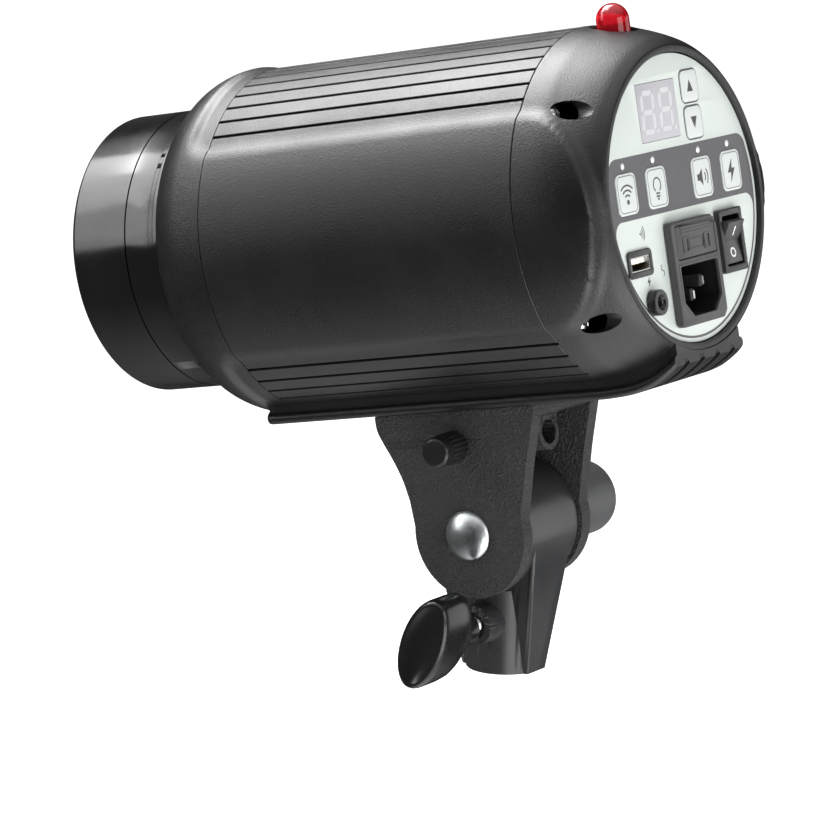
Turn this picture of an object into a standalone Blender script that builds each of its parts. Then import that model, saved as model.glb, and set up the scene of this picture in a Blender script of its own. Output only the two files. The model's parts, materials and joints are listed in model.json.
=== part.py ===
"""Monolight strobe on a tilting stand bracket.

Lengths are in millimetres; the mesh helpers scale them to metres. The world frame has its origin at
the middle of the stand socket's lower face, +Z up along the stand, and the light's front towards -Y.
The head is modelled in its own frame: its origin is the middle of the rear panel's face, +Y points
out of the panel and +Z up. One empty on the tilt bolt's axis carries that frame.
"""

import math

import bmesh
import bpy

MM = 0.001
GAP = 0.3
SHELL_SEGMENTS = 48
# A cutter's facets start part of a step round, so its corners never meet those of the solid it cuts
CUTTER_PHASE = 0.37

# Stand adapter, in the world frame
SLEEVE_R = 13.3
SPIGOT_BORE_R = 8.2
SPIGOT_BORE_DEPTH = 27.0
PIVOT = (0.0, -1.7, 50.5)
BARREL_R = 21.5
BARREL_HALF = 14.8
PIVOT_HOLE_R = 4.3
CLAMP_Z = 18.5
CLAMP_BOSS_R = 7.0
CLAMP_BOSS_END = 20.0
CLAMP_SCREW_R = 3.0

# Head: its tilt, and the tilt bolt's place in the head's frame
HEAD_TILT = math.radians(10.95)
PIVOT_Y = -90.3
PIVOT_Z = -106.2

# Bracket
CHEEK_INNER = 16.2
CHEEK_OUTER = 21.8
CHEEK_R = 22.2
WEB_TOP = -63.0
WEB_THICK = 4.8
UMBRELLA_Z = -75.0
UMBRELLA_BORE_R = 4.3
UMBRELLA_BOSS_R = 6.3
UMBRELLA_SCREW_Y = -89.6
UMBRELLA_SCREW_R = 2.5
WEB_SCREW_X = 11.3
WEB_SCREW_Y = -104.0

# Head shells
RIB_R = 60.6
SIDE_R = 62.0
WALL = 2.4
FRONT_SEAM = -156.0
REAR_SEAM = -28.0
COLLAR_JOINT = -181.0
CAP_SEAM = -197.6
CAP_FRONT = -222.5
CAP_R = 49.7
COLLAR_INNER = 46.5
LEDGE_ANGLE = 54.5
RIB_FIELD_FRONT = -164.0
SIDE_FIELD_BEND = -26.0
SIDE_FIELD_END = -1.3
GROOVE_FIRST = 3.2
GROOVE_PITCH = 6.4
GROOVE_COUNT = 8
GROOVE_WIDTH = 1.2
GROOVE_DEPTH = 1.2
RAIL_HALF = 25.0
RAIL_BOTTOM = -62.7
RAIL_BEAD = 1.9
CHIN_SLOTS = (-15.3, -5.1, 5.1, 15.3)
CHIN_SLOT_ENDS = ((-16.0, -64.8), (4.0, -53.8))

# Outer radius of the shells' round ends, as (y, radius); the side fields stay wide almost to the rear
REAR_END = ((-27.85, 60.6), (-20.0, 59.8), (-15.0, 58.5), (-8.0, 56.3), (-2.5, 54.0), (-1.3, 53.2),
            (0.0, 52.3), (1.3, 51.2))
SIDE_END = ((-27.85, 62.0), (-20.0, 61.8), (-15.0, 61.4), (-8.0, 60.1), (-2.5, 58.3), (-1.3, 57.6),
            (0.0, 56.2), (1.3, 54.6))
FRONT_END = ((-156.15, 62.0), (-160.0, 62.0), (-162.0, 61.9), (-164.0, 61.7), (-166.0, 61.5), (-168.0, 61.2),
             (-171.0, 60.4), (-174.0, 59.2), (-177.0, 57.4), (-180.0, 55.0), (-181.0, 52.8))
RIM_Y = 1.6

# Rear panel, as (x, z) centres and sizes on its face
PANEL_R = 48.2
PANEL_THICK = 2.0
DISPLAY = (8.7, 30.0, 25.0, 19.2)
ARROW_KEYS = {"button_up": (-13.3, 36.1), "button_down": (-13.3, 23.9)}
ARROW_SIZE = (10.8, 10.6)
FUNCTION_KEYS = {"button_optical_trigger": 35.5, "button_modelling_lamp": 16.2, "button_beeper": -13.7,
                 "button_test": -33.3}
FUNCTION_Z = 5.3
FUNCTION_SIZE = (12.6, 13.7)
KEY_TRAVEL_ROOM = 4.0
INDICATOR_Z = 14.4
INDICATOR_R = 1.0
INLET = (1.1, -24.5, 30.0, 35.0)
INLET_BODY = (26.8, 31.0)
INLET_DEPTH = -24.0
INLET_SOCKET = (0.8, -30.5, 24.4, 17.0)
DRAWER = (0.6, -14.1, 25.3, 11.0)
SWITCH = (-25.4, -17.7, 15.5, 21.5)
ROCKER_AXIS_Y = -1.0
USB = (33.7, -17.8, 15.2, 9.0)
SYNC = (28.5, -31.5)
DOME_Y = -17.7
DOME_R = 5.6
DOME_TOP = 67.1
SCREW_PLACES = tuple((x, z) for x in (43.8, -43.8) for z in (34.2, -34.2))

# Inside
FAN_Y = -41.0
LAMP_PLATE_Y = -185.0
FLASH_LEG_ANGLE = 195.0


def clear_scene():
    for obj in list(bpy.data.objects):
        bpy.data.objects.remove(obj, do_unlink=True)


def material(name, colour, roughness, metallic=0.0, alpha=1.0):
    made = bpy.data.materials.get(name)
    if made:
        return made
    made = bpy.data.materials.new(name)
    made.use_nodes = True
    shader = made.node_tree.nodes["Principled BSDF"]
    shader.inputs["Base Color"].default_value = (*colour, 1.0)
    shader.inputs["Roughness"].default_value = roughness
    shader.inputs["Metallic"].default_value = metallic
    shader.inputs["Alpha"].default_value = alpha
    made.diffuse_color = (*colour, alpha)
    return made


def palette():
    """The finishes, by material slot."""
    return {
        "shell_plastic": material("shell_plastic", (0.035, 0.035, 0.038), 0.45),
        "cap_plastic": material("cap_plastic", (0.02, 0.02, 0.022), 0.18),
        "powder_coat": material("powder_coat", (0.045, 0.045, 0.047), 0.6),
        "nylon": material("nylon", (0.03, 0.03, 0.032), 0.4),
        "panel_white": material("panel_white", (0.84, 0.9, 0.87), 0.4),
        "key_white": material("key_white", (0.86, 0.88, 0.87), 0.45),
        "display_window": material("display_window", (0.55, 0.54, 0.56), 0.25),
        "indicator": material("indicator", (0.8, 0.8, 0.82), 0.2),
        "gloss_black": material("gloss_black", (0.03, 0.03, 0.032), 0.25),
        "sensor_red": material("sensor_red", (0.75, 0.02, 0.03), 0.1),
        "chrome": material("chrome", (0.75, 0.77, 0.78), 0.15, 1.0),
        "steel": material("steel", (0.6, 0.6, 0.6), 0.3, 1.0),
        "aluminium": material("aluminium", (0.7, 0.7, 0.72), 0.35, 1.0),
        "brass": material("brass", (0.78, 0.6, 0.3), 0.3, 1.0),
        "lamp_glass": material("lamp_glass", (0.9, 0.92, 0.92), 0.05),
        "ceramic": material("ceramic", (0.85, 0.84, 0.8), 0.5),
        "board_green": material("board_green", (0.03, 0.2, 0.08), 0.5),
        "capacitor_sleeve": material("capacitor_sleeve", (0.05, 0.08, 0.2), 0.35),
    }


def empty(name, parent, at, turn_x=0.0):
    made = bpy.data.objects.new(name, None)
    bpy.context.scene.collection.objects.link(made)
    made.parent = parent
    made.location = [value * MM for value in at]
    made.rotation_euler = (turn_x, 0.0, 0.0)
    return made


def add_object(name, mesh, parent, finish, at=(0.0, 0.0, 0.0)):
    made = bpy.data.objects.new(name, mesh)
    bpy.context.scene.collection.objects.link(made)
    made.parent = parent
    made.location = [value * MM for value in at]
    if finish:
        made.data.materials.append(finish)
        return made
    made.hide_render = True
    made.display_type = "WIRE"
    return made


def build_mesh(name, points, faces, at, smooth=True):
    """Points are millimetres in the parent's frame; the object's origin goes to `at`."""
    mesh = bpy.data.meshes.new(name)
    moved = [[(point[i] - at[i]) * MM for i in range(3)] for point in points]
    mesh.from_pydata(moved, [], faces)
    work = bmesh.new()
    work.from_mesh(mesh)
    bmesh.ops.recalc_face_normals(work, faces=work.faces)
    work.to_mesh(mesh)
    work.free()
    if smooth:
        mesh.shade_smooth()
        mesh.set_sharp_from_angle(angle=math.radians(35))
    return mesh


def on_axis(axis, a, b, along):
    """A point from two cross coordinates and a distance along an axis.

    The cross coordinates are (y, z) for axis x, (x, z) for axis y and (x, y) for axis z.
    """
    if axis == "x":
        return (along, a, b)
    if axis == "y":
        return (a, along, b)
    return (a, b, along)


def rings_to_mesh(name, rings, closed, at, smooth=True):
    """Joins rings of equally many points; closed joins the last to the first, else the ends are filled."""
    count = len(rings[0])
    points = [point for ring in rings for point in ring]
    faces = []
    last = len(rings) if closed else len(rings) - 1
    for row in range(last):
        low = row * count
        high = (row + 1) % len(rings) * count
        for i in range(count):
            j = (i + 1) % count
            faces.append((low + i, low + j, high + j, high + i))
    if not closed:
        faces.append(tuple(range(count)))
        faces.append(tuple(range(len(points) - count, len(points))))
    return build_mesh(name, points, faces, at, smooth)


def turned_mesh(name, profile, axis, centre, segments, at, phase):
    """Revolves (radius, along) points: a solid from radius 0 at both ends, else a ring round the profile."""
    solid = profile[0][0] == 0.0
    points = []
    rings = []
    for radius, along in profile:
        if radius == 0.0:
            rings.append([len(points)])
            points.append(on_axis(axis, centre[0], centre[1], along))
            continue
        rings.append(list(range(len(points), len(points) + segments)))
        for i in range(segments):
            angle = 2 * math.pi * (i + phase) / segments
            a = centre[0] + radius * math.cos(angle)
            b = centre[1] + radius * math.sin(angle)
            points.append(on_axis(axis, a, b, along))
    faces = []
    pairs = list(zip(rings, rings[1:]))
    if not solid:
        pairs.append((rings[-1], rings[0]))
    for low, high in pairs:
        for i in range(segments):
            j = (i + 1) % segments
            if len(low) == 1:
                faces.append((low[0], high[i], high[j]))
            elif len(high) == 1:
                faces.append((low[i], low[j], high[0]))
            else:
                faces.append((low[i], low[j], high[j], high[i]))
    return build_mesh(name, points, faces, at)


def turned(name, profile, axis, centre, parent, finish, segments=32, at=(0.0, 0.0, 0.0)):
    phase = 0.0 if finish else CUTTER_PHASE
    mesh = turned_mesh(name, profile, axis, centre, segments, at, phase)
    return add_object(name, mesh, parent, finish, at)


def rod(name, radius, low, high, axis, centre, parent, finish, segments=24, at=(0.0, 0.0, 0.0)):
    profile = [(0.0, low), (radius, low), (radius, high), (0.0, high)]
    return turned(name, profile, axis, centre, parent, finish, segments, at)


def rectangle(centre, size, corner=0.0, steps=3):
    """A rounded rectangle's outline.

    corner is one radius, or one for each corner from the lower left, anticlockwise.
    """
    half = (size[0] / 2, size[1] / 2)
    corners = corner if isinstance(corner, tuple) else (corner,) * 4
    outline = []
    for i, (sign_a, sign_b) in enumerate(((-1, -1), (1, -1), (1, 1), (-1, 1))):
        radius = corners[i]
        if radius == 0.0:
            outline.append((centre[0] + sign_a * half[0], centre[1] + sign_b * half[1]))
            continue
        for step in range(steps + 1):
            angle = math.radians(180 + 90 * i + 90 * step / steps)
            a = centre[0] + sign_a * (half[0] - radius) + radius * math.cos(angle)
            b = centre[1] + sign_b * (half[1] - radius) + radius * math.sin(angle)
            outline.append((a, b))
    return outline


def stacked(name, layers, axis, parent, finish, at=(0.0, 0.0, 0.0)):
    """A solid through (distance, outline) layers along an axis."""
    rings = [[on_axis(axis, a, b, along) for a, b in outline] for along, outline in layers]
    return add_object(name, rings_to_mesh(name, rings, False, at, False), parent, finish, at)


def prism(name, outline, low, high, axis, parent, finish, at=(0.0, 0.0, 0.0)):
    return stacked(name, [(low, outline), (high, outline)], axis, parent, finish, at)


def boolean(target, other, operation="DIFFERENCE"):
    modifier = target.modifiers.new(other.name, "BOOLEAN")
    modifier.operation = operation
    modifier.solver = "EXACT"
    modifier.object = other
    return target


def turned_outline(outline, angle):
    """An outline turned about its origin."""
    cosine = math.cos(angle)
    sine = math.sin(angle)
    return [(a * cosine - b * sine, a * sine + b * cosine) for a, b in outline]


def grown(size, by):
    return (size[0] + 2 * by, size[1] + 2 * by)


# ---------------------------------------------------------------- head shells


def between(table, y):
    """Linear interpolation in (y, value) rows, held at the ends; the rows may run either way."""
    rows = sorted(table)
    if y <= rows[0][0]:
        return rows[0][1]
    for (y0, v0), (y1, v1) in zip(rows, rows[1:]):
        if y <= y1:
            return v0 + (v1 - v0) * (y - y0) / (y1 - y0)
    return rows[-1][1]


def smooth_step(low, high, value):
    t = min(max((value - low) / (high - low), 0.0), 1.0)
    return t * t * (3 - 2 * t)


def side_share(angle, y):
    """0 on the ribbed fields and the rear end, 1 on the raised side fields and the front shoulder.

    angle is in degrees from the top. The side fields end in a half ellipse on the rear shell, with a
    crisp edge above a hollow, and the ribbed fields end at the front shoulder with round corners.
    """
    from_side = abs(abs((angle + 180) % 360 - 180) - 90)
    arc = math.radians(from_side) * RIB_R
    half_arc = math.radians(90 - LEDGE_ANGLE) * RIB_R
    if y < SIDE_FIELD_BEND:
        side = half_arc - arc
    else:
        reach = (y - SIDE_FIELD_BEND) / (SIDE_FIELD_END - SIDE_FIELD_BEND)
        side = (1 - math.hypot(arc / half_arc, reach)) * half_arc
    front = RIB_FIELD_FRONT - y
    corner = 8.0
    overlap = max(corner - abs(side - front), 0.0) / corner
    inside = max(side, front) + overlap * overlap * corner / 4
    ledge = smooth_step(-2.5, 1.5, inside)
    scoop = min(max((inside + 4.2) / 4.2, 0.0), 1.0) ** 2
    return ledge + (scoop - ledge) * smooth_step(-26.0, -14.0, y)


def polar_point(angle, radius, y):
    """A point on the body: angle is in degrees from the top, towards +X."""
    return (radius * math.sin(math.radians(angle)), y, radius * math.cos(math.radians(angle)))


def polar_ring(radius_at, y):
    steps = [360 * i / SHELL_SEGMENTS for i in range(SHELL_SEGMENTS)]
    return [polar_point(angle, radius_at(angle), y) for angle in steps]


def front_shell(head, finish):
    """The shoulder in front of the ribbed fields, down to the collar."""
    inner = ((-181.0, 51.6), (-177.5, 51.6), (-167.0, 57.4), (-156.15, 58.2))
    rings = []
    for y, radius in FRONT_END:
        drop = SIDE_R - RIB_R
        rings.append(polar_ring(lambda angle: radius - drop * (1 - side_share(angle, y)), y))
    rings += [polar_ring(lambda angle: radius, y) for y, radius in inner]
    return add_object("front_shell", rings_to_mesh("front_shell", rings, True, (0, 0, 0)), head, finish)


def section_angles():
    """(angle, radius) around the mid shell: grooves top and bottom, and the raised sides."""
    half_width = math.degrees(GROOVE_WIDTH / 2 / RIB_R)
    grooves = [GROOVE_FIRST + GROOVE_PITCH * i for i in range(GROOVE_COUNT)]
    hidden_by_rail = 28.0
    rows = []
    for from_pole in grooves:
        rows += [(from_pole - half_width, RIB_R), (from_pole - 0.8 * half_width, RIB_R - GROOVE_DEPTH),
                 (from_pole + 0.8 * half_width, RIB_R - GROOVE_DEPTH), (from_pole + half_width, RIB_R)]
    bottom = [row for row in rows if row[0] > hidden_by_rail] + [(9.0 * i, RIB_R) for i in range(4)]
    ledge = [(52.3, RIB_R), (54.5, RIB_R - 0.4), (57.0, SIDE_R - 0.2), (59.0, SIDE_R)]
    side = [(66.5, SIDE_R), (74.0, SIDE_R), (82.0, SIDE_R)]
    quarter_top = sorted(rows + ledge + side)
    quarter_bottom = sorted(bottom + ledge + side)
    right = quarter_top + [(90.0, SIDE_R)]
    right += [(180 - angle, radius) for angle, radius in reversed(quarter_bottom)]
    left = [(360 - angle, radius) for angle, radius in reversed(right) if 0 < angle < 180]
    return right + left


def mid_shell(head, finish):
    section = section_angles()

    def ring(y, radius=None):
        return [polar_point(angle, radius or own, y) for angle, own in section]

    low = FRONT_SEAM + GAP / 2
    high = REAR_SEAM - GAP / 2
    inner = RIB_R - WALL
    rings = [ring(low), ring(high), ring(high, inner), ring(low, inner)]
    return add_object("mid_shell", rings_to_mesh("mid_shell", rings, True, (0, 0, 0)), head, finish)


def rear_radius(angle, y):
    round_end = between(REAR_END, y)
    return round_end + (between(SIDE_END, y) - round_end) * side_share(angle, y)


def rear_shell(head, finish):
    """The rounded rear end with its rim, the sensor's hole and the four screw pockets."""
    outer = [polar_ring(lambda angle: rear_radius(angle, y), y) for y, _ in REAR_END]
    turned_in = ((RIM_Y, 50.8), (RIM_Y, 48.6), (-2.3, 48.6), (-2.3, 45.8), (-4.5, 45.8), (-12.0, 56.4),
                 (-27.85, 58.2))
    rings = outer + [polar_ring(lambda angle: radius, y) for y, radius in turned_in]
    shell = add_object("rear_shell", rings_to_mesh("rear_shell", rings, True, (0, 0, 0)), head, finish)

    filled = [polar_ring(lambda angle: rear_radius(angle, y) - 0.4, y) for y, _ in REAR_END]
    outline = add_object("rear_outline", rings_to_mesh("rear_outline", filled, False, (0, 0, 0)), head, None)
    for i, place in enumerate(SCREW_PLACES):
        boss = rod(f"screw_boss_{i}", 5.2, -22.0, -1.0, "y", place, head, None, 16)
        boolean(boss, outline, "INTERSECT")
        boolean(shell, boss, "UNION")
    for i, place in enumerate(SCREW_PLACES):
        pocket = [(0.0, -30.0), (1.9, -30.0), (1.9, -19.5), (3.7, -19.5), (3.7, 5.0), (0.0, 5.0)]
        boolean(shell, turned(f"screw_pocket_{i}", pocket, "y", place, head, None, 15))
    hole = [(0.0, 45.0), (DOME_R + GAP, 45.0), (DOME_R + GAP, 59.0), (8.2, 59.0), (8.2, 66.0), (0.0, 66.0)]
    boolean(shell, turned("sensor_hole", hole, "z", (0.0, DOME_Y), head, None, 20))
    return shell


def rail_section(y, half, bottom, top_radius):
    """The base rail's outline at one place: an arc under the body, and a round bead along each side."""
    inner = half - RAIL_BEAD
    arc_steps = 8
    points = []
    for i in range(arc_steps + 1):
        x = -inner + 2 * inner * i / arc_steps
        points.append((x, y, -math.sqrt(top_radius ** 2 - x ** 2)))
    for sign in (1, -1):
        for step in range(7)[::sign]:
            angle = math.radians(90 - 30 * step)
            x = sign * (inner + RAIL_BEAD * math.cos(angle))
            points.append((x, y, bottom + RAIL_BEAD + RAIL_BEAD * math.sin(angle)))
    return points


def under_radius(y):
    """The shells' outer radius along the bottom of the body."""
    if y < FRONT_SEAM:
        return between(FRONT_END, y) - (SIDE_R - RIB_R) * (1 - side_share(180, y))
    if y > REAR_SEAM:
        return between(REAR_END, y)
    return RIB_R


def base_rail(head, finish):
    """The flat rail under the body; its rear end turns up as the chin with four slots."""
    stations = (
        (-167.0, 22.6, -62.2), (-166.0, 24.3, -62.6), (-164.0, RAIL_HALF, RAIL_BOTTOM),
        (-162.0, RAIL_HALF, RAIL_BOTTOM), (-160.0, RAIL_HALF, RAIL_BOTTOM),
        (FRONT_SEAM, RAIL_HALF, RAIL_BOTTOM), (REAR_SEAM, RAIL_HALF, RAIL_BOTTOM), (-20.0, 24.8, -62.3),
        (-15.0, 24.6, -61.7), (-8.0, 24.1, -59.8), (-2.5, 23.6, -57.0), (0.0, 23.3, -55.4),
        (1.3, 23.0, -54.4), (2.0, 22.8, -53.8),
    )
    rings = [rail_section(y, half, bottom, under_radius(y) + GAP) for y, half, bottom in stations]
    rail = add_object("base_rail", rings_to_mesh("base_rail", rings, False, (0, 0, 0)), head, finish)
    for side in (-1, 1):
        place = (side * WEB_SCREW_X, WEB_SCREW_Y)
        boolean(rail, rod(f"rail_screw_hole_{side}", 2.2, -70.0, -50.0, "z", place, head, None, 12))
    for i, x in enumerate(CHIN_SLOTS):
        levels = [(y, rectangle((x, middle), (3.0, 6.0))) for y, middle in CHIN_SLOT_ENDS]
        boolean(rail, stacked(f"chin_slot_{i}", levels, "y", head, None))
    return rail


def mount_collar(head, finish):
    """The ring that modifiers lock on to, stepped down to the cap's radius, with three bayonet notches."""
    profile = [(CAP_R - 0.1, CAP_SEAM + GAP / 2), (CAP_R - 0.1, -187.2), (50.4, -187.0), (50.4, -184.6),
               (51.3, -184.4), (51.3, COLLAR_JOINT + GAP), (COLLAR_INNER, COLLAR_JOINT + GAP),
               (COLLAR_INNER, CAP_SEAM + GAP / 2)]
    collar = turned("mount_collar", profile, "y", (0, 0), head, finish, SHELL_SEGMENTS)
    for i in range(3):
        angle = math.radians(90 + 120 * i)
        centre = (COLLAR_INNER * math.cos(angle), COLLAR_INNER * math.sin(angle))
        notch = rod(f"bayonet_notch_{i}", 2.0, CAP_SEAM - 2.0, -189.0, "y", centre, head, None, 12)
        boolean(collar, notch)
    return collar


def front_cap(head, finish):
    """The protective cap, with a spigot that enters the collar."""
    spigot = COLLAR_INNER - GAP
    profile = [(0.0, CAP_FRONT), (48.4, CAP_FRONT), (CAP_R, CAP_FRONT + 1.4),
               (CAP_R, CAP_SEAM - GAP / 2), (spigot, CAP_SEAM - GAP / 2), (spigot, CAP_SEAM + 4.0),
               (spigot - 1.6, CAP_SEAM + 4.0), (spigot - 1.6, CAP_FRONT + 3.6),
               (spigot - 3.2, CAP_FRONT + 2.0), (0.0, CAP_FRONT + 2.0)]
    return turned("front_cap", profile, "y", (0, 0), head, finish, SHELL_SEGMENTS)


def shells(head, finish):
    front_shell(head, finish["shell_plastic"])
    mid_shell(head, finish["shell_plastic"])
    rear_shell(head, finish["shell_plastic"])
    base_rail(head, finish["shell_plastic"])
    mount_collar(head, finish["cap_plastic"])
    front_cap(head, finish["cap_plastic"])
    profile = [(0.0, 50.0), (7.0, 50.0), (7.0, 52.6), (DOME_R, 52.6), (DOME_R, DOME_TOP - DOME_R)]
    for step in range(1, 4):
        angle = math.radians(90 * step / 4)
        profile.append((DOME_R * math.cos(angle), DOME_TOP - DOME_R + DOME_R * math.sin(angle)))
    profile.append((0.0, DOME_TOP))
    turned("sensor_dome", profile, "z", (0.0, DOME_Y), head, finish["sensor_red"], 16)
    for i, place in enumerate(SCREW_PLACES):
        screw = [(0.0, -29.5), (1.6, -29.5), (1.6, -19.2), (2.9, -19.2), (2.9, -17.4), (2.2, -16.8),
                 (0.0, -16.8)]
        turned(f"shell_screw_{i + 1}", screw, "y", place, head, finish["steel"], 12)


# ---------------------------------------------------------------- rear panel


def control_panel(head, finish):
    white = finish["panel_white"]
    panel = rod("control_panel", PANEL_R, -PANEL_THICK, 0.0, "y", (0, 0), head, white, SHELL_SEGMENTS)
    holes = {"display": (DISPLAY[:2], grown(DISPLAY[2:], GAP), 0.0),
             "inlet": (INLET[:2], grown(INLET_BODY, GAP), 0.0),
             "switch": (SWITCH[:2], (13.6, 19.4), 0.0),
             "usb": (USB[:2], (13.6, 7.6), 0.0)}
    for name, place in ARROW_KEYS.items():
        holes[name] = (place, grown(ARROW_SIZE, GAP), 2.0 + GAP)
    for name, x in FUNCTION_KEYS.items():
        holes[name] = ((x, FUNCTION_Z), grown(FUNCTION_SIZE, GAP), 2.4 + GAP)
    for name, (centre, size, corner) in holes.items():
        outline = rectangle(centre, size, corner, 2)
        boolean(panel, prism(f"hole_{name}", outline, -5.0, 5.0, "y", head, None))
    for i, x in enumerate(FUNCTION_KEYS.values()):
        place = (x, INDICATOR_Z)
        boolean(panel, rod(f"hole_indicator_{i}", INDICATOR_R + GAP, -5.0, 5.0, "y", place, head, None, 8))
    boolean(panel, rod("hole_sync", 3.5, -5.0, 5.0, "y", SYNC, head, None, 12))
    return panel


def key(name, centre, size, corner, head, finish):
    """A key cap with a retaining flange behind the panel."""
    cap = rectangle(centre, size, corner, 2)
    flange = rectangle(centre, grown(size, 0.5), corner + 0.5, 2)
    top = rectangle(centre, grown(size, -0.3), corner - 0.3, 2)
    layers = [(-KEY_TRAVEL_ROOM, flange), (-2.6, flange), (-2.6, cap), (0.1, cap), (0.35, top)]
    at = (centre[0], 0.0, centre[1])
    return stacked(name, layers, "y", head, finish, at)


def keys_and_lights(head, finish):
    x, z, width, height = DISPLAY
    window = rectangle((x, z), (width, height))
    frame = rectangle((x, z), (width + 1.2, height + 0.6))
    stacked("display_window", [(-8.0, frame), (-2.4, frame), (-2.4, window), (0.15, window)], "y", head,
            finish["display_window"])
    for name, place in ARROW_KEYS.items():
        key(name, place, ARROW_SIZE, 2.0, head, finish["key_white"])
    for i, (name, key_x) in enumerate(FUNCTION_KEYS.items()):
        key(name, (key_x, FUNCTION_Z), FUNCTION_SIZE, 2.4, head, finish["key_white"])
        rod(f"indicator_{i + 1}", INDICATOR_R, -11.6, 0.15, "y", (key_x, INDICATOR_Z), head,
            finish["indicator"], 8)
    outline = rectangle((1.0, 20.0), (64.0, 37.0), 2.0)
    prism("control_board", outline, -13.6, -12.0, "y", head, finish["board_green"])


def power_inlet(head, finish):
    """The inlet and the fuse drawer share one flanged housing."""
    x, z, width, height = INLET
    flange = rectangle((x, z), (width, height), (2.0, 2.0, 3.0, 2.0), 2)
    body = rectangle((x, z), INLET_BODY, (1.0, 1.0, 1.0, 1.0), 2)
    layers = [(INLET_DEPTH, body), (0.25, body), (0.25, flange), (3.2, flange)]
    housing = stacked("inlet_housing", layers, "y", head, finish["gloss_black"])
    sx, sz, socket_width, socket_height = INLET_SOCKET
    half = (socket_width / 2, socket_height / 2)
    chamfer = 5.0
    socket = [(sx - half[0] + chamfer, sz - half[1]), (sx + half[0] - chamfer, sz - half[1]),
              (sx + half[0], sz - half[1] + chamfer), (sx + half[0], sz + half[1]),
              (sx - half[0], sz + half[1]), (sx - half[0], sz - half[1] + chamfer)]
    boolean(housing, prism("socket_cut", socket, -13.0, 6.0, "y", head, None))
    dx, dz, drawer_width, drawer_height = DRAWER
    wide = rectangle((dx, dz), grown((drawer_width, drawer_height), GAP))
    narrow = rectangle((dx, dz), (22.6, 9.6))
    layers = [(-19.0, narrow), (0.8, narrow), (0.8, wide), (6.0, wide)]
    boolean(housing, stacked("drawer_cut", layers, "y", head, None))
    for i, (px, pz) in enumerate(((sx - 7.0, sz + 2.0), (sx + 7.0, sz + 2.0), (sx, sz - 2.0))):
        names = ("inlet_pin_line", "inlet_pin_neutral", "inlet_pin_earth")
        hole = rectangle((px, pz), (2.6, 4.6))
        boolean(housing, prism(f"pin_hole_{i}", hole, -30.0, -10.0, "y", head, None))
        blade = rectangle((px, pz), (2.0, 4.0))
        tip = rectangle((px, pz), (1.0, 2.6))
        stacked(names[i], [(-30.0, blade), (-1.5, blade), (-0.5, tip)], "y", head, finish["steel"])
    front = rectangle((dx, dz), (drawer_width, drawer_height))
    tray = rectangle((dx, dz), (22.0, 9.0))
    at = (dx, 0.0, dz)
    drawer = stacked("fuse_drawer", [(-18.4, tray), (1.1, tray), (1.1, front), (3.3, front)], "y", head,
                     finish["gloss_black"], at)
    bay = rectangle((dx, dz + 2.0), (6.0, 9.6))
    boolean(drawer, prism("fuse_bay", bay, -17.4, -1.0, "y", head, None))
    rod("fuse", 2.5, -17.0, -1.4, "y", (dx, dz), head, finish["lamp_glass"], 16)


def power_switch(head, finish):
    x, z, width, height = SWITCH
    frame = rectangle((x, z), (width, height), 1.0, 2)
    top = rectangle((x, z), grown((width, height), -0.5), 0.5, 2)
    body = rectangle((x, z), (13.0, 18.8), 0.5, 2)
    bezel = stacked("switch_bezel", [(-18.0, body), (0.25, body), (0.25, frame), (1.7, frame),
                                     (2.2, top)], "y", head, finish["gloss_black"])
    well = rectangle((x, z), (11.2, 16.8))
    boolean(bezel, prism("switch_well", well, -8.0, 5.0, "y", head, None))
    tilt = math.radians(11.0)
    outline = [(-4.6, -2.5), (-4.6, 2.5), (1.6, 7.4), (4.3, 7.3), (2.0, 0.0), (4.3, -7.3), (1.6, -7.4)]
    placed = [(ROCKER_AXIS_Y + a, z + b) for a, b in turned_outline(outline, -tilt)]
    at = (x, ROCKER_AXIS_Y, z)
    return prism("switch_rocker", placed, x - 5.2, x + 5.2, "x", head, finish["gloss_black"], at)


def sockets(head, finish):
    x, z, width, height = USB
    surround = rectangle((x, z), (width, height), 1.6, 2)
    body = rectangle((x, z), (13.0, 7.0), 0.5, 2)
    usb = stacked("usb_socket", [(-13.0, body), (0.25, body), (0.25, surround), (0.8, surround)], "y", head,
                  finish["gloss_black"])
    boolean(usb, prism("usb_cut", rectangle((x, z), (12.0, 4.9)), -11.5, 3.0, "y", head, None))
    prism("usb_tongue", rectangle((x, z + 1.0), (11.0, 1.8)), -11.2, -1.0, "y", head, finish["ceramic"])
    jack = [(1.8, -12.0), (3.2, -12.0), (3.2, 0.25), (4.3, 0.25), (4.3, 3.0), (3.8, 3.5), (1.8, 3.5)]
    turned("sync_jack", jack, "y", SYNC, head, finish["gloss_black"], 16)


# ---------------------------------------------------------------- inside


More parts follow.
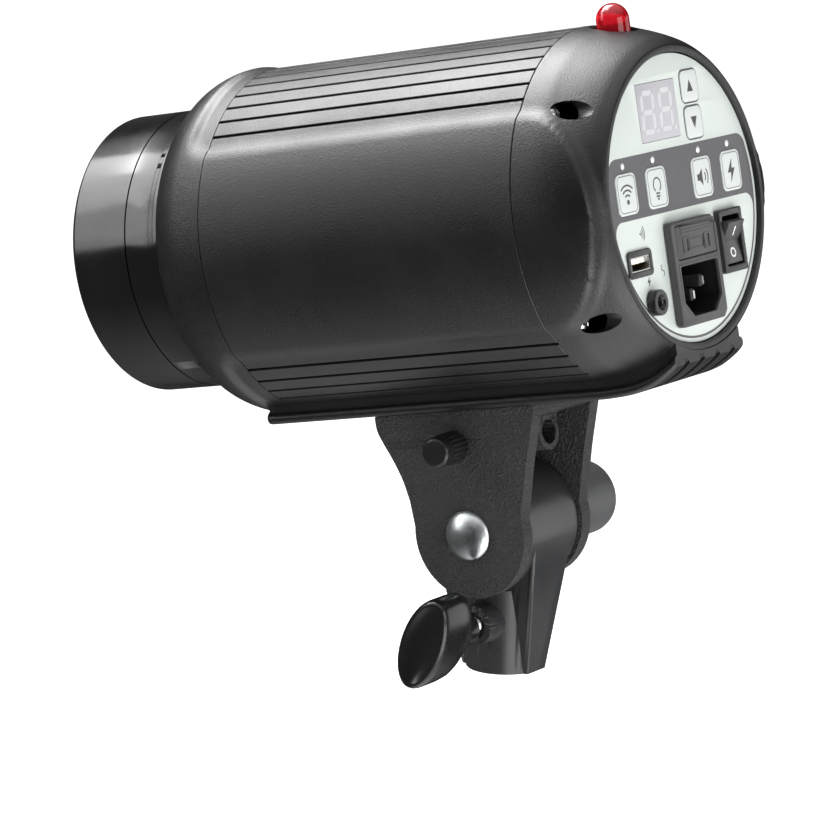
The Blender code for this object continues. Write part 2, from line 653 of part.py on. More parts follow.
def lamp_parts(head, finish):
    low = LAMP_PLATE_Y - 1.0
    high = LAMP_PLATE_Y + 1.0
    section = [(15.0, low), (45.9, low), (45.9, high), (15.0, high)]
    plate = turned("lamp_plate", section, "y", (0, 0), head, finish["aluminium"], 32)
    ring_radius = 24.0
    for i, leg in enumerate((FLASH_LEG_ANGLE, 360.0 - FLASH_LEG_ANGLE)):
        place = (ring_radius * math.cos(math.radians(leg)), ring_radius * math.sin(math.radians(leg)))
        boolean(plate, rod(f"tube_leg_hole_{i}", 3.3, -190.0, -180.0, "y", place, head, None, 14))
    socket = [(0.0, -166.0), (13.0, -166.0), (13.0, LAMP_PLATE_Y + 1.3), (14.7, LAMP_PLATE_Y + 1.3),
              (14.7, -190.0), (6.4, -190.0), (6.4, -176.0), (0.0, -176.0)]
    turned("lamp_socket", socket, "y", (0, 0), head, finish["ceramic"], 20)
    bulb = [(0.0, -176.4), (6.0, -176.4), (6.0, -191.0), (7.4, -195.0), (8.8, -200.0), (9.0, -205.0),
            (7.8, -210.5), (4.6, -214.3), (0.0, -215.6)]
    turned("modelling_lamp", bulb, "y", (0, 0), head, finish["lamp_glass"], 16)

    first = FLASH_LEG_ANGLE - 360
    turns = [math.radians(first - 2 * first * i / 30) for i in range(31)]
    route = [(ring_radius * math.cos(turn), -193.0, ring_radius * math.sin(turn)) for turn in turns]
    for end in (0, -1):
        leg = [(route[end][0], y, route[end][2]) for y in (-176.0, -190.0)]
        route = leg + route if end == 0 else route + leg[::-1]
    curve = bpy.data.curves.new("flash_tube", "CURVE")
    curve.dimensions = "3D"
    curve.bevel_depth = 2.8 * MM
    curve.bevel_resolution = 1
    curve.use_fill_caps = True
    spline = curve.splines.new("POLY")
    spline.points.add(len(route) - 1)
    for point, place in zip(spline.points, route):
        point.co = (*[value * MM for value in place], 1.0)
    add_object("flash_tube", curve, head, finish["lamp_glass"])


def electronics(head, finish):
    for i, x in enumerate((-22.0, 22.0)):
        can = [(0.0, -150.0), (16.6, -150.0), (17.5, -149.0), (17.5, -90.0), (16.6, -89.0), (0.0, -89.0)]
        turned(f"flash_capacitor_{i + 1}", can, "y", (x, 14.0), head, finish["capacitor_sleeve"], 20)
    outline = rectangle((0.0, -101.0), (84.0, 96.0), 2.0)
    board = prism("main_board", outline, -29.0, -27.4, "z", head, finish["board_green"])
    blocks = ((-22, -122, 30, 26, 20), (18, -118, 14, 34, 14), (20, -72, 32, 22, 22))
    for i, (x, y, width, depth, height) in enumerate(blocks):
        base = rectangle((x, y), (width, depth))
        block = prism(f"board_block_{i}", base, -28.0, -27.4 + height, "z", head, None)
        boolean(board, block, "UNION")


def fan(head, finish):
    square = rectangle((0, 0), (60.0, 60.0), 4.0)
    frame = prism("fan_frame", square, FAN_Y - 7.5, FAN_Y + 7.5, "y", head, finish["nylon"])
    ring = [(9.0, FAN_Y - 9.0), (28.0, FAN_Y - 9.0), (28.0, FAN_Y + 5.0), (9.0, FAN_Y + 5.0)]
    boolean(frame, turned("fan_opening", ring, "y", (0, 0), head, None, 32))
    hub = rod("fan_hub_cut", 11.0, FAN_Y - 9.0, FAN_Y + 5.0, "y", (0, 0), head, None, 24)
    boolean(frame, hub)
    for i in range(4):
        angle = math.radians(45 + 90 * i)
        outline = []
        for radius, spread in ((12.0, 36.0), (27.0, 38.0), (27.0, -38.0), (12.0, -36.0)):
            turn = angle + math.radians(spread)
            outline.append((radius * math.cos(turn), radius * math.sin(turn)))
        outline.insert(2, (28.0 * math.cos(angle), 28.0 * math.sin(angle)))
        boolean(frame, prism(f"fan_window_{i}", outline, FAN_Y, FAN_Y + 9.0, "y", head, None))
    at = (0.0, FAN_Y, 0.0)
    rotor = rod("fan_rotor", 10.6, FAN_Y - 7.0, FAN_Y + 4.0, "y", (0, 0), head, finish["gloss_black"], 24, at)
    blade_count = 7
    for i in range(blade_count):
        turn = 2 * math.pi * (i + CUTTER_PHASE) / blade_count
        layers = []
        for along, lean in ((FAN_Y - 6.0, -2.2), (FAN_Y + 3.0, 2.2)):
            outline = [(9.4, lean - 0.7), (27.0, lean - 0.7), (27.0, lean + 0.7), (9.4, lean + 0.7)]
            layers.append((along, turned_outline(outline, turn)))
        boolean(rotor, stacked(f"fan_blade_{i}", layers, "y", head, None), "UNION")


# ---------------------------------------------------------------- bracket


def cheek_outline():
    """The cheek's side view: a wide top edge, swept in to a round end about the tilt bolt."""
    outline = [(-57.0, WEB_TOP), (-57.3, -66.5), (-59.8, -74.2), (-63.0, -84.0), (-66.3, -96.0)]
    start = math.degrees(math.atan2(-102.0 - PIVOT_Z, 22.0))
    for i in range(15):
        angle = math.radians(start - (180 + 2 * start) * i / 14)
        outline.append((PIVOT_Y + 0.4 + CHEEK_R * math.cos(angle), PIVOT_Z + CHEEK_R * math.sin(angle)))
    outline += [(-112.4, -93.0), (-114.0, -86.0), (-116.8, -78.8), (-120.4, -71.5), (-121.9, -67.5),
                (-122.0, WEB_TOP)]
    return outline


def bracket(head, finish):
    """The yoke: two cheeks and a web in one piece, the umbrella tube under the web, and its two screws."""
    outline = cheek_outline()
    coat = finish["powder_coat"]
    yoke = prism("tilt_bracket", outline, -CHEEK_OUTER, CHEEK_OUTER, "x", head, coat)
    below_web = rectangle((-90.0, WEB_TOP - WEB_THICK - 45.0), (90.0, 90.0))
    boolean(yoke, prism("between_cheeks", below_web, -CHEEK_INNER, CHEEK_INNER, "x", head, None))
    rib_top = WEB_TOP - 1.0
    boss = rectangle((0.0, (UMBRELLA_Z + rib_top) / 2), (2 * UMBRELLA_BOSS_R, rib_top - UMBRELLA_Z))
    boolean(yoke, prism("umbrella_rib", boss, -116.0, -66.0, "y", head, None), "UNION")
    tube = rod("umbrella_boss", UMBRELLA_BOSS_R, -116.2, -65.8, "y", (0.0, UMBRELLA_Z), head, None, 24)
    boolean(yoke, tube, "UNION")
    bore = rod("umbrella_bore", UMBRELLA_BORE_R, -130.0, -50.0, "y", (0.0, UMBRELLA_Z), head, None, 20)
    boolean(yoke, bore)
    lock_axis = (UMBRELLA_SCREW_Y, UMBRELLA_Z)
    boolean(yoke, rod("lock_hole", UMBRELLA_SCREW_R + GAP, 0.0, 30.0, "x", lock_axis, head, None, 16))
    boolean(yoke, rod("bolt_hole", PIVOT_HOLE_R, -30.0, 30.0, "x", (PIVOT_Y, PIVOT_Z), head, None, 20))
    for i, side in enumerate((-1, 1)):
        place = (side * WEB_SCREW_X, WEB_SCREW_Y)
        boolean(yoke, rod(f"web_screw_hole_{i}", 2.2, -72.0, -55.0, "z", place, head, None, 12))
        under = WEB_TOP - WEB_THICK - GAP
        screw = [(0.0, under - 2.2), (2.6, under - 2.2), (3.4, under - 1.4), (3.4, under), (1.9, under),
                 (1.9, -60.6), (0.0, -60.6)]
        turned(f"bracket_screw_{i + 1}", screw, "z", place, head, finish["steel"], 16)


def tilt_hardware(head, finish):
    axis = (PIVOT_Y, PIVOT_Z)
    outer = CHEEK_OUTER
    bolt = [(0.0, -45.0), (3.9, -45.0), (3.9, outer + 0.2), (8.7, outer + 0.2), (8.5, outer + 1.2),
            (7.2, outer + 2.5), (4.4, outer + 3.5), (0.0, outer + 3.9)]
    turned("tilt_bolt", bolt, "x", axis, head, finish["chrome"], 20)
    at = (-CHEEK_OUTER, *axis)
    ring = [(4.3, -CHEEK_OUTER - GAP), (9.5, -CHEEK_OUTER - GAP), (9.5, -CHEEK_OUTER - 1.8),
            (4.3, -CHEEK_OUTER - 1.8)]
    turned("tilt_washer", ring, "x", axis, head, finish["steel"], 16, at)
    inner = -CHEEK_OUTER - 2.1
    knob = [(0.0, -48.0), (4.2, -48.0), (4.2, inner), (11.0, inner), (12.8, inner - 4.0), (13.4, inner - 8.0),
            (13.4, -54.6), (12.6, -56.0), (11.2, -56.5), (0.0, -56.5)]
    turned("tilt_knob", knob, "x", axis, head, finish["nylon"], 24, at)
    for side, name in ((1, "right"), (-1, "left")):
        inner = side * (BARREL_HALF + 0.2)
        outer = inner + side
        washer = [(4.5, inner), (13.0, inner), (13.0, outer), (4.5, outer)]
        turned(f"friction_washer_{name}", washer, "x", axis, head, finish["nylon"], 16)


def umbrella_lock(head, finish):
    axis = (UMBRELLA_SCREW_Y, UMBRELLA_Z)
    at = (CHEEK_OUTER, *axis)
    rod("umbrella_lock_pad", 2.2, 3.4, 5.0, "x", axis, head, finish["nylon"], 12, at)
    rod("umbrella_lock_screw", UMBRELLA_SCREW_R, 5.3, 26.0, "x", axis, head, finish["steel"], 16, at)
    knob = []
    lobes = 12
    for step in range(lobes * 2):
        radius = 5.6 if step % 2 else 5.0
        angle = math.pi * step / lobes
        knob.append((axis[0] + radius * math.cos(angle), axis[1] + radius * math.sin(angle)))
    top = [(axis[0] + 0.86 * (y - axis[0]), axis[1] + 0.86 * (z - axis[1])) for y, z in knob]
    low = CHEEK_OUTER + 0.9
    layers = [(low, top), (low + 1.0, knob), (35.6, knob), (36.2, top)]
    body = stacked("umbrella_lock_knob", layers, "x", head, finish["nylon"], at)
    boolean(body, rod("knob_socket", UMBRELLA_SCREW_R + GAP, 15.0, 26.4, "x", axis, head, None, 16))


# ---------------------------------------------------------------- stand adapter


def adapter(finish):
    """The casting: a tilt barrel on a tapered neck, and the sleeve over the stand's spigot."""
    sleeve = [(0.0, 0.0), (SLEEVE_R - 0.4, 0.0), (SLEEVE_R, 0.4), (SLEEVE_R, 30.0), (0.0, 30.0)]
    body = turned("stand_adapter", sleeve, "z", (0.0, 0.0), None, finish["nylon"], 36)
    sections = ((0.15, 0.0, (12.0, 27.2)), (3.5, 0.0, (12.4, 28.6)), (35.0, -0.7, (23.0, 40.6)),
                (44.0, -1.2, (24.0, 41.6)))
    neck = [(z, rectangle((0.0, y), size, 1.2, 1)) for z, y, size in sections]
    boolean(body, stacked("adapter_neck", neck, "z", None, None), "UNION")
    barrel = rod("adapter_barrel", BARREL_R, -BARREL_HALF, BARREL_HALF, "x", PIVOT[1:], None, None, 40)
    boolean(body, barrel, "UNION")
    boss = rod("clamp_boss", CLAMP_BOSS_R, 5.0, CLAMP_BOSS_END, "x", (0.0, CLAMP_Z), None, None, 24)
    boolean(body, boss, "UNION")
    bore = rod("spigot_bore", SPIGOT_BORE_R, -2.0, SPIGOT_BORE_DEPTH, "z", (0.0, 0.0), None, None, 28)
    boolean(body, bore)
    boolean(body, rod("clamp_hole", CLAMP_SCREW_R + GAP, 0.0, 30.0, "x", (0.0, CLAMP_Z), None, None, 14))
    boolean(body, rod("pivot_hole", PIVOT_HOLE_R, -30.0, 30.0, "x", PIVOT[1:], None, None, 16))


def wing_outline(scale):
    """The clamp knob's oval, leaning back at the top."""
    oval = []
    for i in range(28):
        angle = 2 * math.pi * i / 28
        oval.append((8.6 * scale * math.cos(angle), 17.2 * scale * math.sin(angle)))
    return [(y, CLAMP_Z + z) for y, z in turned_outline(oval, math.radians(-21.0))]


def clamp(finish):
    at = (CLAMP_BOSS_END, 0.0, CLAMP_Z)
    centre = (0.0, CLAMP_Z)
    rod("clamp_pad", 2.6, 8.3, 10.0, "x", centre, None, finish["brass"], 16, at)
    rod("clamp_screw", CLAMP_SCREW_R, 10.3, 30.0, "x", centre, None, finish["steel"], 20, at)
    hub = []
    for i in range(28):
        angle = 2 * math.pi * i / 28
        hub.append((6.0 * math.cos(angle), CLAMP_Z + 6.0 * math.sin(angle)))
    layers = [(25.0, hub), (31.0, hub), (35.0, wing_outline(0.86)), (38.0, wing_outline(0.97)),
              (50.0, wing_outline(1.0)), (52.5, wing_outline(0.93)), (53.2, wing_outline(0.8))]
    knob = stacked("clamp_knob", layers, "x", None, finish["nylon"], at)
    boolean(knob, rod("clamp_knob_socket", CLAMP_SCREW_R + GAP, 20.0, 30.4, "x", centre, None, None, 20))


def main():
    clear_scene()
    finish = palette()
    adapter(finish)
    clamp(finish)
    tilt_axis = empty("head_tilt_axis", None, PIVOT, HEAD_TILT)
    head = empty("head_frame", tilt_axis, (0.0, -PIVOT_Y, -PIVOT_Z))
    shells(head, finish)
    control_panel(head, finish)
    keys_and_lights(head, finish)
    power_inlet(head, finish)
    power_switch(head, finish)
    sockets(head, finish)
    lamp_parts(head, finish)
    electronics(head, finish)
    fan(head, finish)
    bracket(head, finish)
    tilt_hardware(head, finish)
    umbrella_lock(head, finish)


main()
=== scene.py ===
"""Looks of the monolight strobe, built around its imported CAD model.

Pieces are modelled in millimetres: those of the head in the head's own frame (origin in the middle of the
rear panel's face, +Y out of the panel, +Z up), those of the stand adapter in the world frame.
"""

import json
import math

import bmesh
import bpy
from mathutils import Matrix, Vector


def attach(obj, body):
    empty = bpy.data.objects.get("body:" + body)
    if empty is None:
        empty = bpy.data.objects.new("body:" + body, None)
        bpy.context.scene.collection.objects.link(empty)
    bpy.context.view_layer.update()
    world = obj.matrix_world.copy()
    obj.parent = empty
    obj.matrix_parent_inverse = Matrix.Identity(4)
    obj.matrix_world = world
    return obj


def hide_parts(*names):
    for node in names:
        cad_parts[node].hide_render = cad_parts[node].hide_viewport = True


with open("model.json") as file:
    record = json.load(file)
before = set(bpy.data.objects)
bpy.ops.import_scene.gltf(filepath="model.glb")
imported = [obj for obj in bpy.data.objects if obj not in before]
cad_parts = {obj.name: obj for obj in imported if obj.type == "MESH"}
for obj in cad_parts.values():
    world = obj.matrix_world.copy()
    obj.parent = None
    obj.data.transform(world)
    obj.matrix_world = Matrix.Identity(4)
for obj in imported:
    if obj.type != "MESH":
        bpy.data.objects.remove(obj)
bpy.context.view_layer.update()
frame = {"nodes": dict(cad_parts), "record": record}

MM = 0.001
GAP = 0.3
TILT = math.radians(10.95)
PIVOT = Vector((0.0, -1.7, 50.5)) * MM
PIVOT_IN_HEAD = Vector((0.0, -90.3, -106.2)) * MM
WORLD = Matrix.Identity(4)
HEAD = Matrix.Translation(PIVOT) @ Matrix.Rotation(TILT, 4, "X") @ Matrix.Translation(-PIVOT_IN_HEAD)
# The rear panel's own axes: u to the right as seen from behind, v up, w out of the panel
PANEL = HEAD @ Matrix(((-1, 0, 0, 0), (0, 0, 1, 0), (0, 1, 0, 0), (0, 0, 0, 1)))
# Side axes of the head: first along +Y, second up, third along +X
SIDE = HEAD @ Matrix(((0, 0, 1, 0), (1, 0, 0, 0), (0, 1, 0, 0), (0, 0, 0, 1)))

RIB_R = 60.6
SIDE_R = 62.0
LEDGE_ANGLE = 54.5
RIB_FIELD_FRONT = -164.0
SIDE_FIELD_BEND = -26.0
SIDE_FIELD_END = -1.3
REAR_END = ((-28.0, 60.6), (-20.0, 59.8), (-15.0, 58.5), (-8.0, 56.3), (-2.5, 54.0), (0.0, 52.3), (1.3, 51.2))
SIDE_END = ((-28.0, 62.0), (-20.0, 61.8), (-12.0, 61.0), (-6.0, 59.6), (-2.5, 58.3), (-1.0, 57.4),
            (1.3, 54.6))
FRONT_END = ((-156.0, 62.0), (-160.0, 62.0), (-164.0, 61.7), (-168.0, 61.2), (-171.0, 60.4), (-174.0, 59.2),
             (-177.0, 57.4), (-179.0, 55.8), (-180.2, 54.4), (-180.9, 53.0))
FRONT_SEAM = -156.0
REAR_SEAM = -28.0
SCREW_PLACES = tuple((x, z) for x in (43.8, -43.8) for z in (34.2, -34.2))
RAIL_BEAD = 1.9
COLLAR_INNER = 46.5
SPIGOT_R = 46.2
SENSOR = (0.0, -17.7)
SENSOR_R = 5.6

# The bracket, in the head's frame
UMBRELLA_TUBE = (0.0, -75.0)
UMBRELLA_TUBE_R = 6.3
UMBRELLA_BORE_R = 4.3
UMBRELLA_LOCK = (-89.6, -75.0)
BOLT = (-90.3, -106.2)
BOLT_HOLE_R = 4.3
CHEEK_OUTER = 21.8
CHEEK_INNER = 16.2
CHEEK_R = 22.2

# The stand adapter, in the world frame
BARREL = (-1.7, 50.5)
BARREL_R = 21.5
SOCKET_R = 8.2
CLAMP = (0.0, 18.5)


# ---------------------------------------------------------------- materials


def node(tree, kind, inputs=None, **settings):
    made = tree.nodes.new(kind)
    for key, value in settings.items():
        setattr(made, key, value)
    for key, value in (inputs or {}).items():
        if isinstance(value, bpy.types.NodeSocket):
            tree.links.new(value, made.inputs[key])
        else:
            made.inputs[key].default_value = value
    return made


def noise(tree, scale, detail=2.0, stretch=None):
    """Even noise in the piece's own metres; stretch scales the three axes apart."""
    place = node(tree, "ShaderNodeTexCoord").outputs["Object"]
    if stretch:
        place = node(tree, "ShaderNodeMapping", {"Vector": place, "Scale": stretch}).outputs["Vector"]
    inputs = {"Vector": place, "Scale": scale, "Detail": detail}
    return node(tree, "ShaderNodeTexNoise", inputs).outputs["Fac"]


def spread(tree, value, low, high, start=0.3, end=0.7):
    made = node(tree, "ShaderNodeMapRange", {"Value": value, "From Min": start, "From Max": end,
                                             "To Min": low, "To Max": high})
    return made.outputs["Result"]


def surface(name, colour, roughness, grain=0.0, height=0.0, vary=0.05, shade=0.12, metallic=0.0, edge=0.0,
            stretch=None, pebble=0.0, **sockets):
    """A finish with grain in its relief, and uneven roughness and tone.

    grain is features per metre, height the relief in mm, vary the roughness spread, shade the tone's, and
    edge how much lighter the edges are, partly as wear and partly as a painted highlight. A pebbled coat
    has round grains, and pebble says how much paler their tops are painted, as a painted highlight.
    """
    made = bpy.data.materials.new(name)
    made.use_nodes = True
    tree = made.node_tree
    shader = tree.nodes["Principled BSDF"]
    broad = noise(tree, 45.0, 4.0)
    fine = noise(tree, 700.0, 3.0, stretch)
    rough = node(tree, "ShaderNodeMath", {0: spread(tree, broad, roughness - vary, roughness + vary),
                                          1: spread(tree, fine, -vary / 2, vary / 2)}, operation="ADD")
    tree.links.new(rough.outputs[0], shader.inputs["Roughness"])
    dark = [c * (1 - shade) for c in colour] + [1.0]
    light = [min(c * (1 + shade), 1.0) for c in colour] + [1.0]
    tone = node(tree, "ShaderNodeMix", {0: spread(tree, broad, 0.0, 1.0), 6: dark, 7: light},
                data_type="RGBA")
    tone = tone.outputs[2]
    if edge:
        # Paler edges found by pointiness: partly wear, partly a painted highlight where edges catch light.
        pointed = node(tree, "ShaderNodeNewGeometry").outputs["Pointiness"]
        wear_and_highlight = spread(tree, pointed, 0.0, edge, 0.52, 0.62)
        paler = [min(c * 2.2 + 0.06, 1.0) for c in colour] + [1.0]
        tone = node(tree, "ShaderNodeMix", {0: wear_and_highlight, 6: tone, 7: paler}, data_type="RGBA").outputs[2]
    shader.inputs["Metallic"].default_value = metallic
    for key, value in sockets.items():
        shader.inputs[key.replace("_", " ")].default_value = value
    if grain:
        if pebble:
            place = node(tree, "ShaderNodeTexCoord").outputs["Object"]
            cells = node(tree, "ShaderNodeTexVoronoi", {"Vector": place, "Scale": grain, "Randomness": 1.0},
                         feature="SMOOTH_F1").outputs["Distance"]
            relief = node(tree, "ShaderNodeMath", {0: cells, 1: noise(tree, grain * 1.7, 3.0, stretch)},
                          operation="ADD").outputs[0]
            # Painted highlight: the grain tops are painted paler, standing in for light catching them.
            lit_tops = spread(tree, relief, 0.0, pebble, 0.75, 1.2)
            paler = [c * 3.5 for c in colour] + [1.0]
            tone = node(tree, "ShaderNodeMix", {0: lit_tops, 6: tone, 7: paler}, data_type="RGBA").outputs[2]
        else:
            relief = noise(tree, grain, 3.0, stretch)
        bump = node(tree, "ShaderNodeBump", {"Height": relief, "Strength": 1.0, "Distance": height * MM})
        tree.links.new(bump.outputs["Normal"], shader.inputs["Normal"])
    tree.links.new(tone, shader.inputs["Base Color"])
    return made


def make_looks():
    """Each look is (material, the record's slot)."""
    looks = {}

    def look(name, slot, *settings, **more):
        looks[name] = (surface(name + "_look", *settings, **more), slot)

    look("shell", "shell_plastic", (0.008, 0.008, 0.0085), 0.35, 1900, 0.15, 0.05, 0.12, edge=0.06)
    look("cap", "cap_plastic", (0.006, 0.006, 0.0065), 0.15, 900, 0.0008, 0.04)
    look("coat", "powder_coat", (0.010, 0.010, 0.0105), 0.42, 1300, 0.6, 0.06, 0.15, edge=0.12, pebble=0.9)
    look("nylon", "nylon", (0.009, 0.009, 0.0095), 0.33, 1800, 0.015, 0.06, edge=0.10)
    look("knob", "nylon", (0.007, 0.007, 0.0075), 0.24, 2500, 0.002, 0.04, edge=0.05)
    look("grip", "nylon", (0.055, 0.056, 0.058), 0.5, 1800, 0.02, 0.06, edge=0.1)
    look("casting", "nylon", (0.014, 0.0145, 0.0155), 0.33, 1800, 0.015, 0.06, edge=0.12)
    look("panel", "panel_white", (0.53, 0.573, 0.543), 0.36, 2500, 0.01, 0.05, 0.015)
    look("print", "panel_white", (0.076, 0.074, 0.081), 0.42, 2500, 0.01, 0.05, 0.05)
    look("key", "key_white", (0.53, 0.56, 0.55), 0.38, 2500, 0.01, 0.05, 0.02)
    look("ink", "key_white", (0.05, 0.05, 0.055), 0.5, 2500, 0.01)
    look("display", "display_window", (0.37, 0.362, 0.39), 0.2, 1500, 0.003, 0.03, 0.04)
    look("digit", "display_window", (0.48, 0.475, 0.50), 0.3, 1500, 0.003, 0.03, 0.04)
    look("lens", "indicator", (0.82, 0.83, 0.85), 0.15, 1500, 0.003, 0.03)
    look("black", "gloss_black", (0.012, 0.012, 0.0125), 0.3, 1600, 0.012, 0.05, edge=0.1)
    look("inlet", "gloss_black", (0.044, 0.043, 0.045), 0.36, 1600, 0.015, 0.05, edge=0.15)
    look("dark", "gloss_black", (0.006, 0.006, 0.007), 0.5, 1600, 0.012, 0.05)
    look("mark", "gloss_black", (0.75, 0.75, 0.75), 0.45, 2500, 0.01)
    look("red", "sensor_red", (0.80, 0.015, 0.03), 0.06, 300, 0.01, 0.02, 0.1, Transmission_Weight=0.55,
         IOR=1.49)
    look("chrome", "chrome", (0.78, 0.82, 0.83), 0.32, 420, 0.05, 0.1, 0.15, 1.0)
    look("steel", "steel", (0.56, 0.56, 0.56), 0.28, 900, 0.02, 0.08, 0.1, 1.0)
    look("aluminium", "aluminium", (0.66, 0.67, 0.69), 0.34, 300, 0.01, 0.08, 0.06, 1.0, stretch=(1, 8, 1))
    look("brass", "brass", (0.70, 0.50, 0.22), 0.3, 900, 0.01, 0.08, 0.1, 1.0)
    look("glass", "lamp_glass", (0.95, 0.97, 0.97), 0.05, 60, 0.01, 0.02, 0.02, Transmission_Weight=0.92,
         IOR=1.47)
    look("ceramic", "ceramic", (0.80, 0.78, 0.72), 0.55, 1500, 0.02, 0.06, 0.04)
    look("board", "board_green", (0.02, 0.16, 0.06), 0.4, 400, 0.03, 0.08, 0.3)
    look("sleeve", "capacitor_sleeve", (0.03, 0.05, 0.16), 0.3, 300, 0.02, 0.06, 0.15)
    return looks


LOOKS = make_looks()
NODE_LOOKS = {"shell_plastic": "shell", "cap_plastic": "cap", "powder_coat": "coat", "nylon": "nylon",
              "panel_white": "panel", "key_white": "key", "display_window": "display", "indicator": "lens",
              "gloss_black": "black", "sensor_red": "red", "chrome": "chrome", "steel": "steel",
              "aluminium": "aluminium", "brass": "brass", "lamp_glass": "glass", "ceramic": "ceramic",
              "board_green": "board", "capacitor_sleeve": "sleeve"}


def dress_nodes():
    """Gives every CAD node the finish of its slot; those that a piece replaces are hidden later."""
    for part in frame["record"]["subparts"]:
        mesh = frame["nodes"][part["node"]].data
        mesh.materials.clear()
        mesh.materials.append(LOOKS[NODE_LOOKS[part["material_slot"]]][0])


# ---------------------------------------------------------------- mesh building


def linked(name, data):
    made = bpy.data.objects.new(name, data)
    bpy.context.scene.collection.objects.link(made)
    return made


def piece(mesh, body, look, matrix=HEAD, stands_for=(), smooth=35.0):
    """Places a finished mesh on a body. The mesh itself is moved, so every piece's origin is the world's."""
    mesh.transform(matrix)
    made = linked(mesh.name, mesh)
    mesh.materials.clear()
    mesh.materials.append(LOOKS[look][0])
    mesh.shade_smooth()
    mesh.set_sharp_from_angle(angle=math.radians(smooth))
    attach(made, body)
    if stands_for:
        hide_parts(*stands_for)
    return made


def edited(mesh, change):
    work = bmesh.new()
    work.from_mesh(mesh)
    change(work)
    work.to_mesh(mesh)
    work.free()
    return mesh


def turn_outwards(work):
    bmesh.ops.recalc_face_normals(work, faces=work.faces)


def mesh_of(name, points, faces):
    mesh = bpy.data.meshes.new(name)
    mesh.from_pydata([[value * MM for value in point] for point in points], [], faces)
    return edited(mesh, turn_outwards)


def loft(name, rings, closed=False, caps=True):
    """Skins rings of equally many points; closed joins the last ring to the first."""
    count = len(rings[0])
    faces = []
    for row in range(len(rings) if closed else len(rings) - 1):
        low = row * count
        high = (row + 1) % len(rings) * count
        faces += [(low + i, low + (i + 1) % count, high + (i + 1) % count, high + i) for i in range(count)]
    points = [point for ring in rings for point in ring]
    if caps and not closed:
        faces += [tuple(range(count)), tuple(range(len(points) - count, len(points)))]
    return mesh_of(name, points, faces)


def fillet(points, radius, steps=4, closed=False):
    """Rounds the corners of a polyline in the plane."""
    out = []
    count = len(points)
    for i, here in enumerate(points):
        here = Vector(here)
        if not closed and i in (0, count - 1):
            out.append(tuple(here))
            continue
        before = Vector(points[i - 1]) - here
        after = Vector(points[(i + 1) % count]) - here
        half = before.angle(after) / 2
        if half > 1.5 or half < 0.02:
            out.append(tuple(here))
            continue
        reach = min(radius / math.tan(half), before.length * 0.48, after.length * 0.48)
        actual = reach * math.tan(half)
        middle = (before.normalized() + after.normalized()).normalized()
        centre = here + middle * (actual / math.sin(half))
        start = here + before.normalized() * reach - centre
        turn = start.angle_signed(here + after.normalized() * reach - centre)
        for step in range(steps + 1):
            angle = -turn * step / steps
            x = start.x * math.cos(angle) - start.y * math.sin(angle)
            y = start.x * math.sin(angle) + start.y * math.cos(angle)
            out.append((centre.x + x, centre.y + y))
    return out


def lathe(name, profile, axis="y", centre=(0.0, 0.0), segments=64, rounding=0.0):
    """Revolves (radius, along) points about an axis."""
    if rounding:
        profile = fillet(profile, rounding)
    rings = []
    for radius, along in profile:
        ring = []
        for i in range(segments):
            angle = 2 * math.pi * i / segments
            a = centre[0] + radius * math.cos(angle)
            b = centre[1] + radius * math.sin(angle)
            ring.append({"x": (along, a, b), "y": (a, along, b), "z": (a, b, along)}[axis])
        rings.append(ring)
    closed = profile[0][0] > 0.0 and profile[-1][0] > 0.0

    def weld(work):
        bmesh.ops.remove_doubles(work, verts=work.verts, dist=1e-7)
        turn_outwards(work)

    return edited(loft(name, rings, closed, False), weld)


def band(inner, outer, low, high):
    """The profile of a ring, or of a rod if inner is 0."""
    return [(inner, low), (outer, low), (outer, high), (inner, high)]


def rod(name, radius, low, high, axis, centre=(0.0, 0.0), segments=32):
    return lathe(name, band(0.0, radius, low, high), axis, centre, segments)


def rectangle(centre, size, corner=0.0, steps=6):
    """A rounded rectangle, anticlockwise; corner is one radius or one for each corner from the lower left."""
    corners = corner if isinstance(corner, tuple) else (corner,) * 4
    outline = []
    for i, (a, b) in enumerate(((-1, -1), (1, -1), (1, 1), (-1, 1))):
        radius = max(corners[i], 0.001)
        for step in range(steps + 1 if corners[i] else 1):
            angle = math.radians(180 + 90 * i + 90 * step / steps)
            outline.append((centre[0] + a * (size[0] / 2 - radius) + radius * math.cos(angle),
                            centre[1] + b * (size[1] / 2 - radius) + radius * math.sin(angle)))
    return outline


def circle(centre, radius, segments=48):
    turns = [2 * math.pi * i / segments for i in range(segments)]
    return [(centre[0] + radius * math.cos(turn), centre[1] + radius * math.sin(turn)) for turn in turns]


def area(outline):
    return sum(a[0] * b[1] - b[0] * a[1] for a, b in zip(outline, outline[1:] + outline[:1])) / 2


def sheet(name, outlines, low, high, rounding=0.0):
    """A flat solid from low to high along the third axis; outlines inside others are holes or islands.

    The first outline and islands run anticlockwise, and holes clockwise: this sees to that.
    """
    curve = bpy.data.curves.new(name, "CURVE")
    curve.dimensions = "2D"
    curve.fill_mode = "BOTH"
    curve.extrude = ((high - low) / 2 - rounding) * MM
    curve.bevel_depth = rounding * MM
    curve.bevel_resolution = 2
    curve.offset = -rounding * MM
    for outline, hole in outlines:
        if (area(outline) < 0) != hole:
            outline = outline[::-1]
        spline = curve.splines.new("POLY")
        spline.points.add(len(outline) - 1)
        for point, (a, b) in zip(spline.points, outline):
            point.co = (a * MM, b * MM, 0.0, 1.0)
        spline.use_cyclic_u = True
    holder = linked(name + "_curve", curve)
    graph = bpy.context.evaluated_depsgraph_get()
    mesh = bpy.data.meshes.new_from_object(holder.evaluated_get(graph))
    mesh.name = name
    mesh.transform(Matrix.Translation((0.0, 0.0, (low + high) / 2 * MM)))
    bpy.data.objects.remove(holder)
    bpy.data.curves.remove(curve)

    def clean(work):
        bmesh.ops.remove_doubles(work, verts=work.verts, dist=2e-6)
        bmesh.ops.dissolve_degenerate(work, edges=work.edges, dist=1e-6)

    return edited(mesh, clean)


def solid(*outlines):
    return [(outline, False) for outline in outlines]


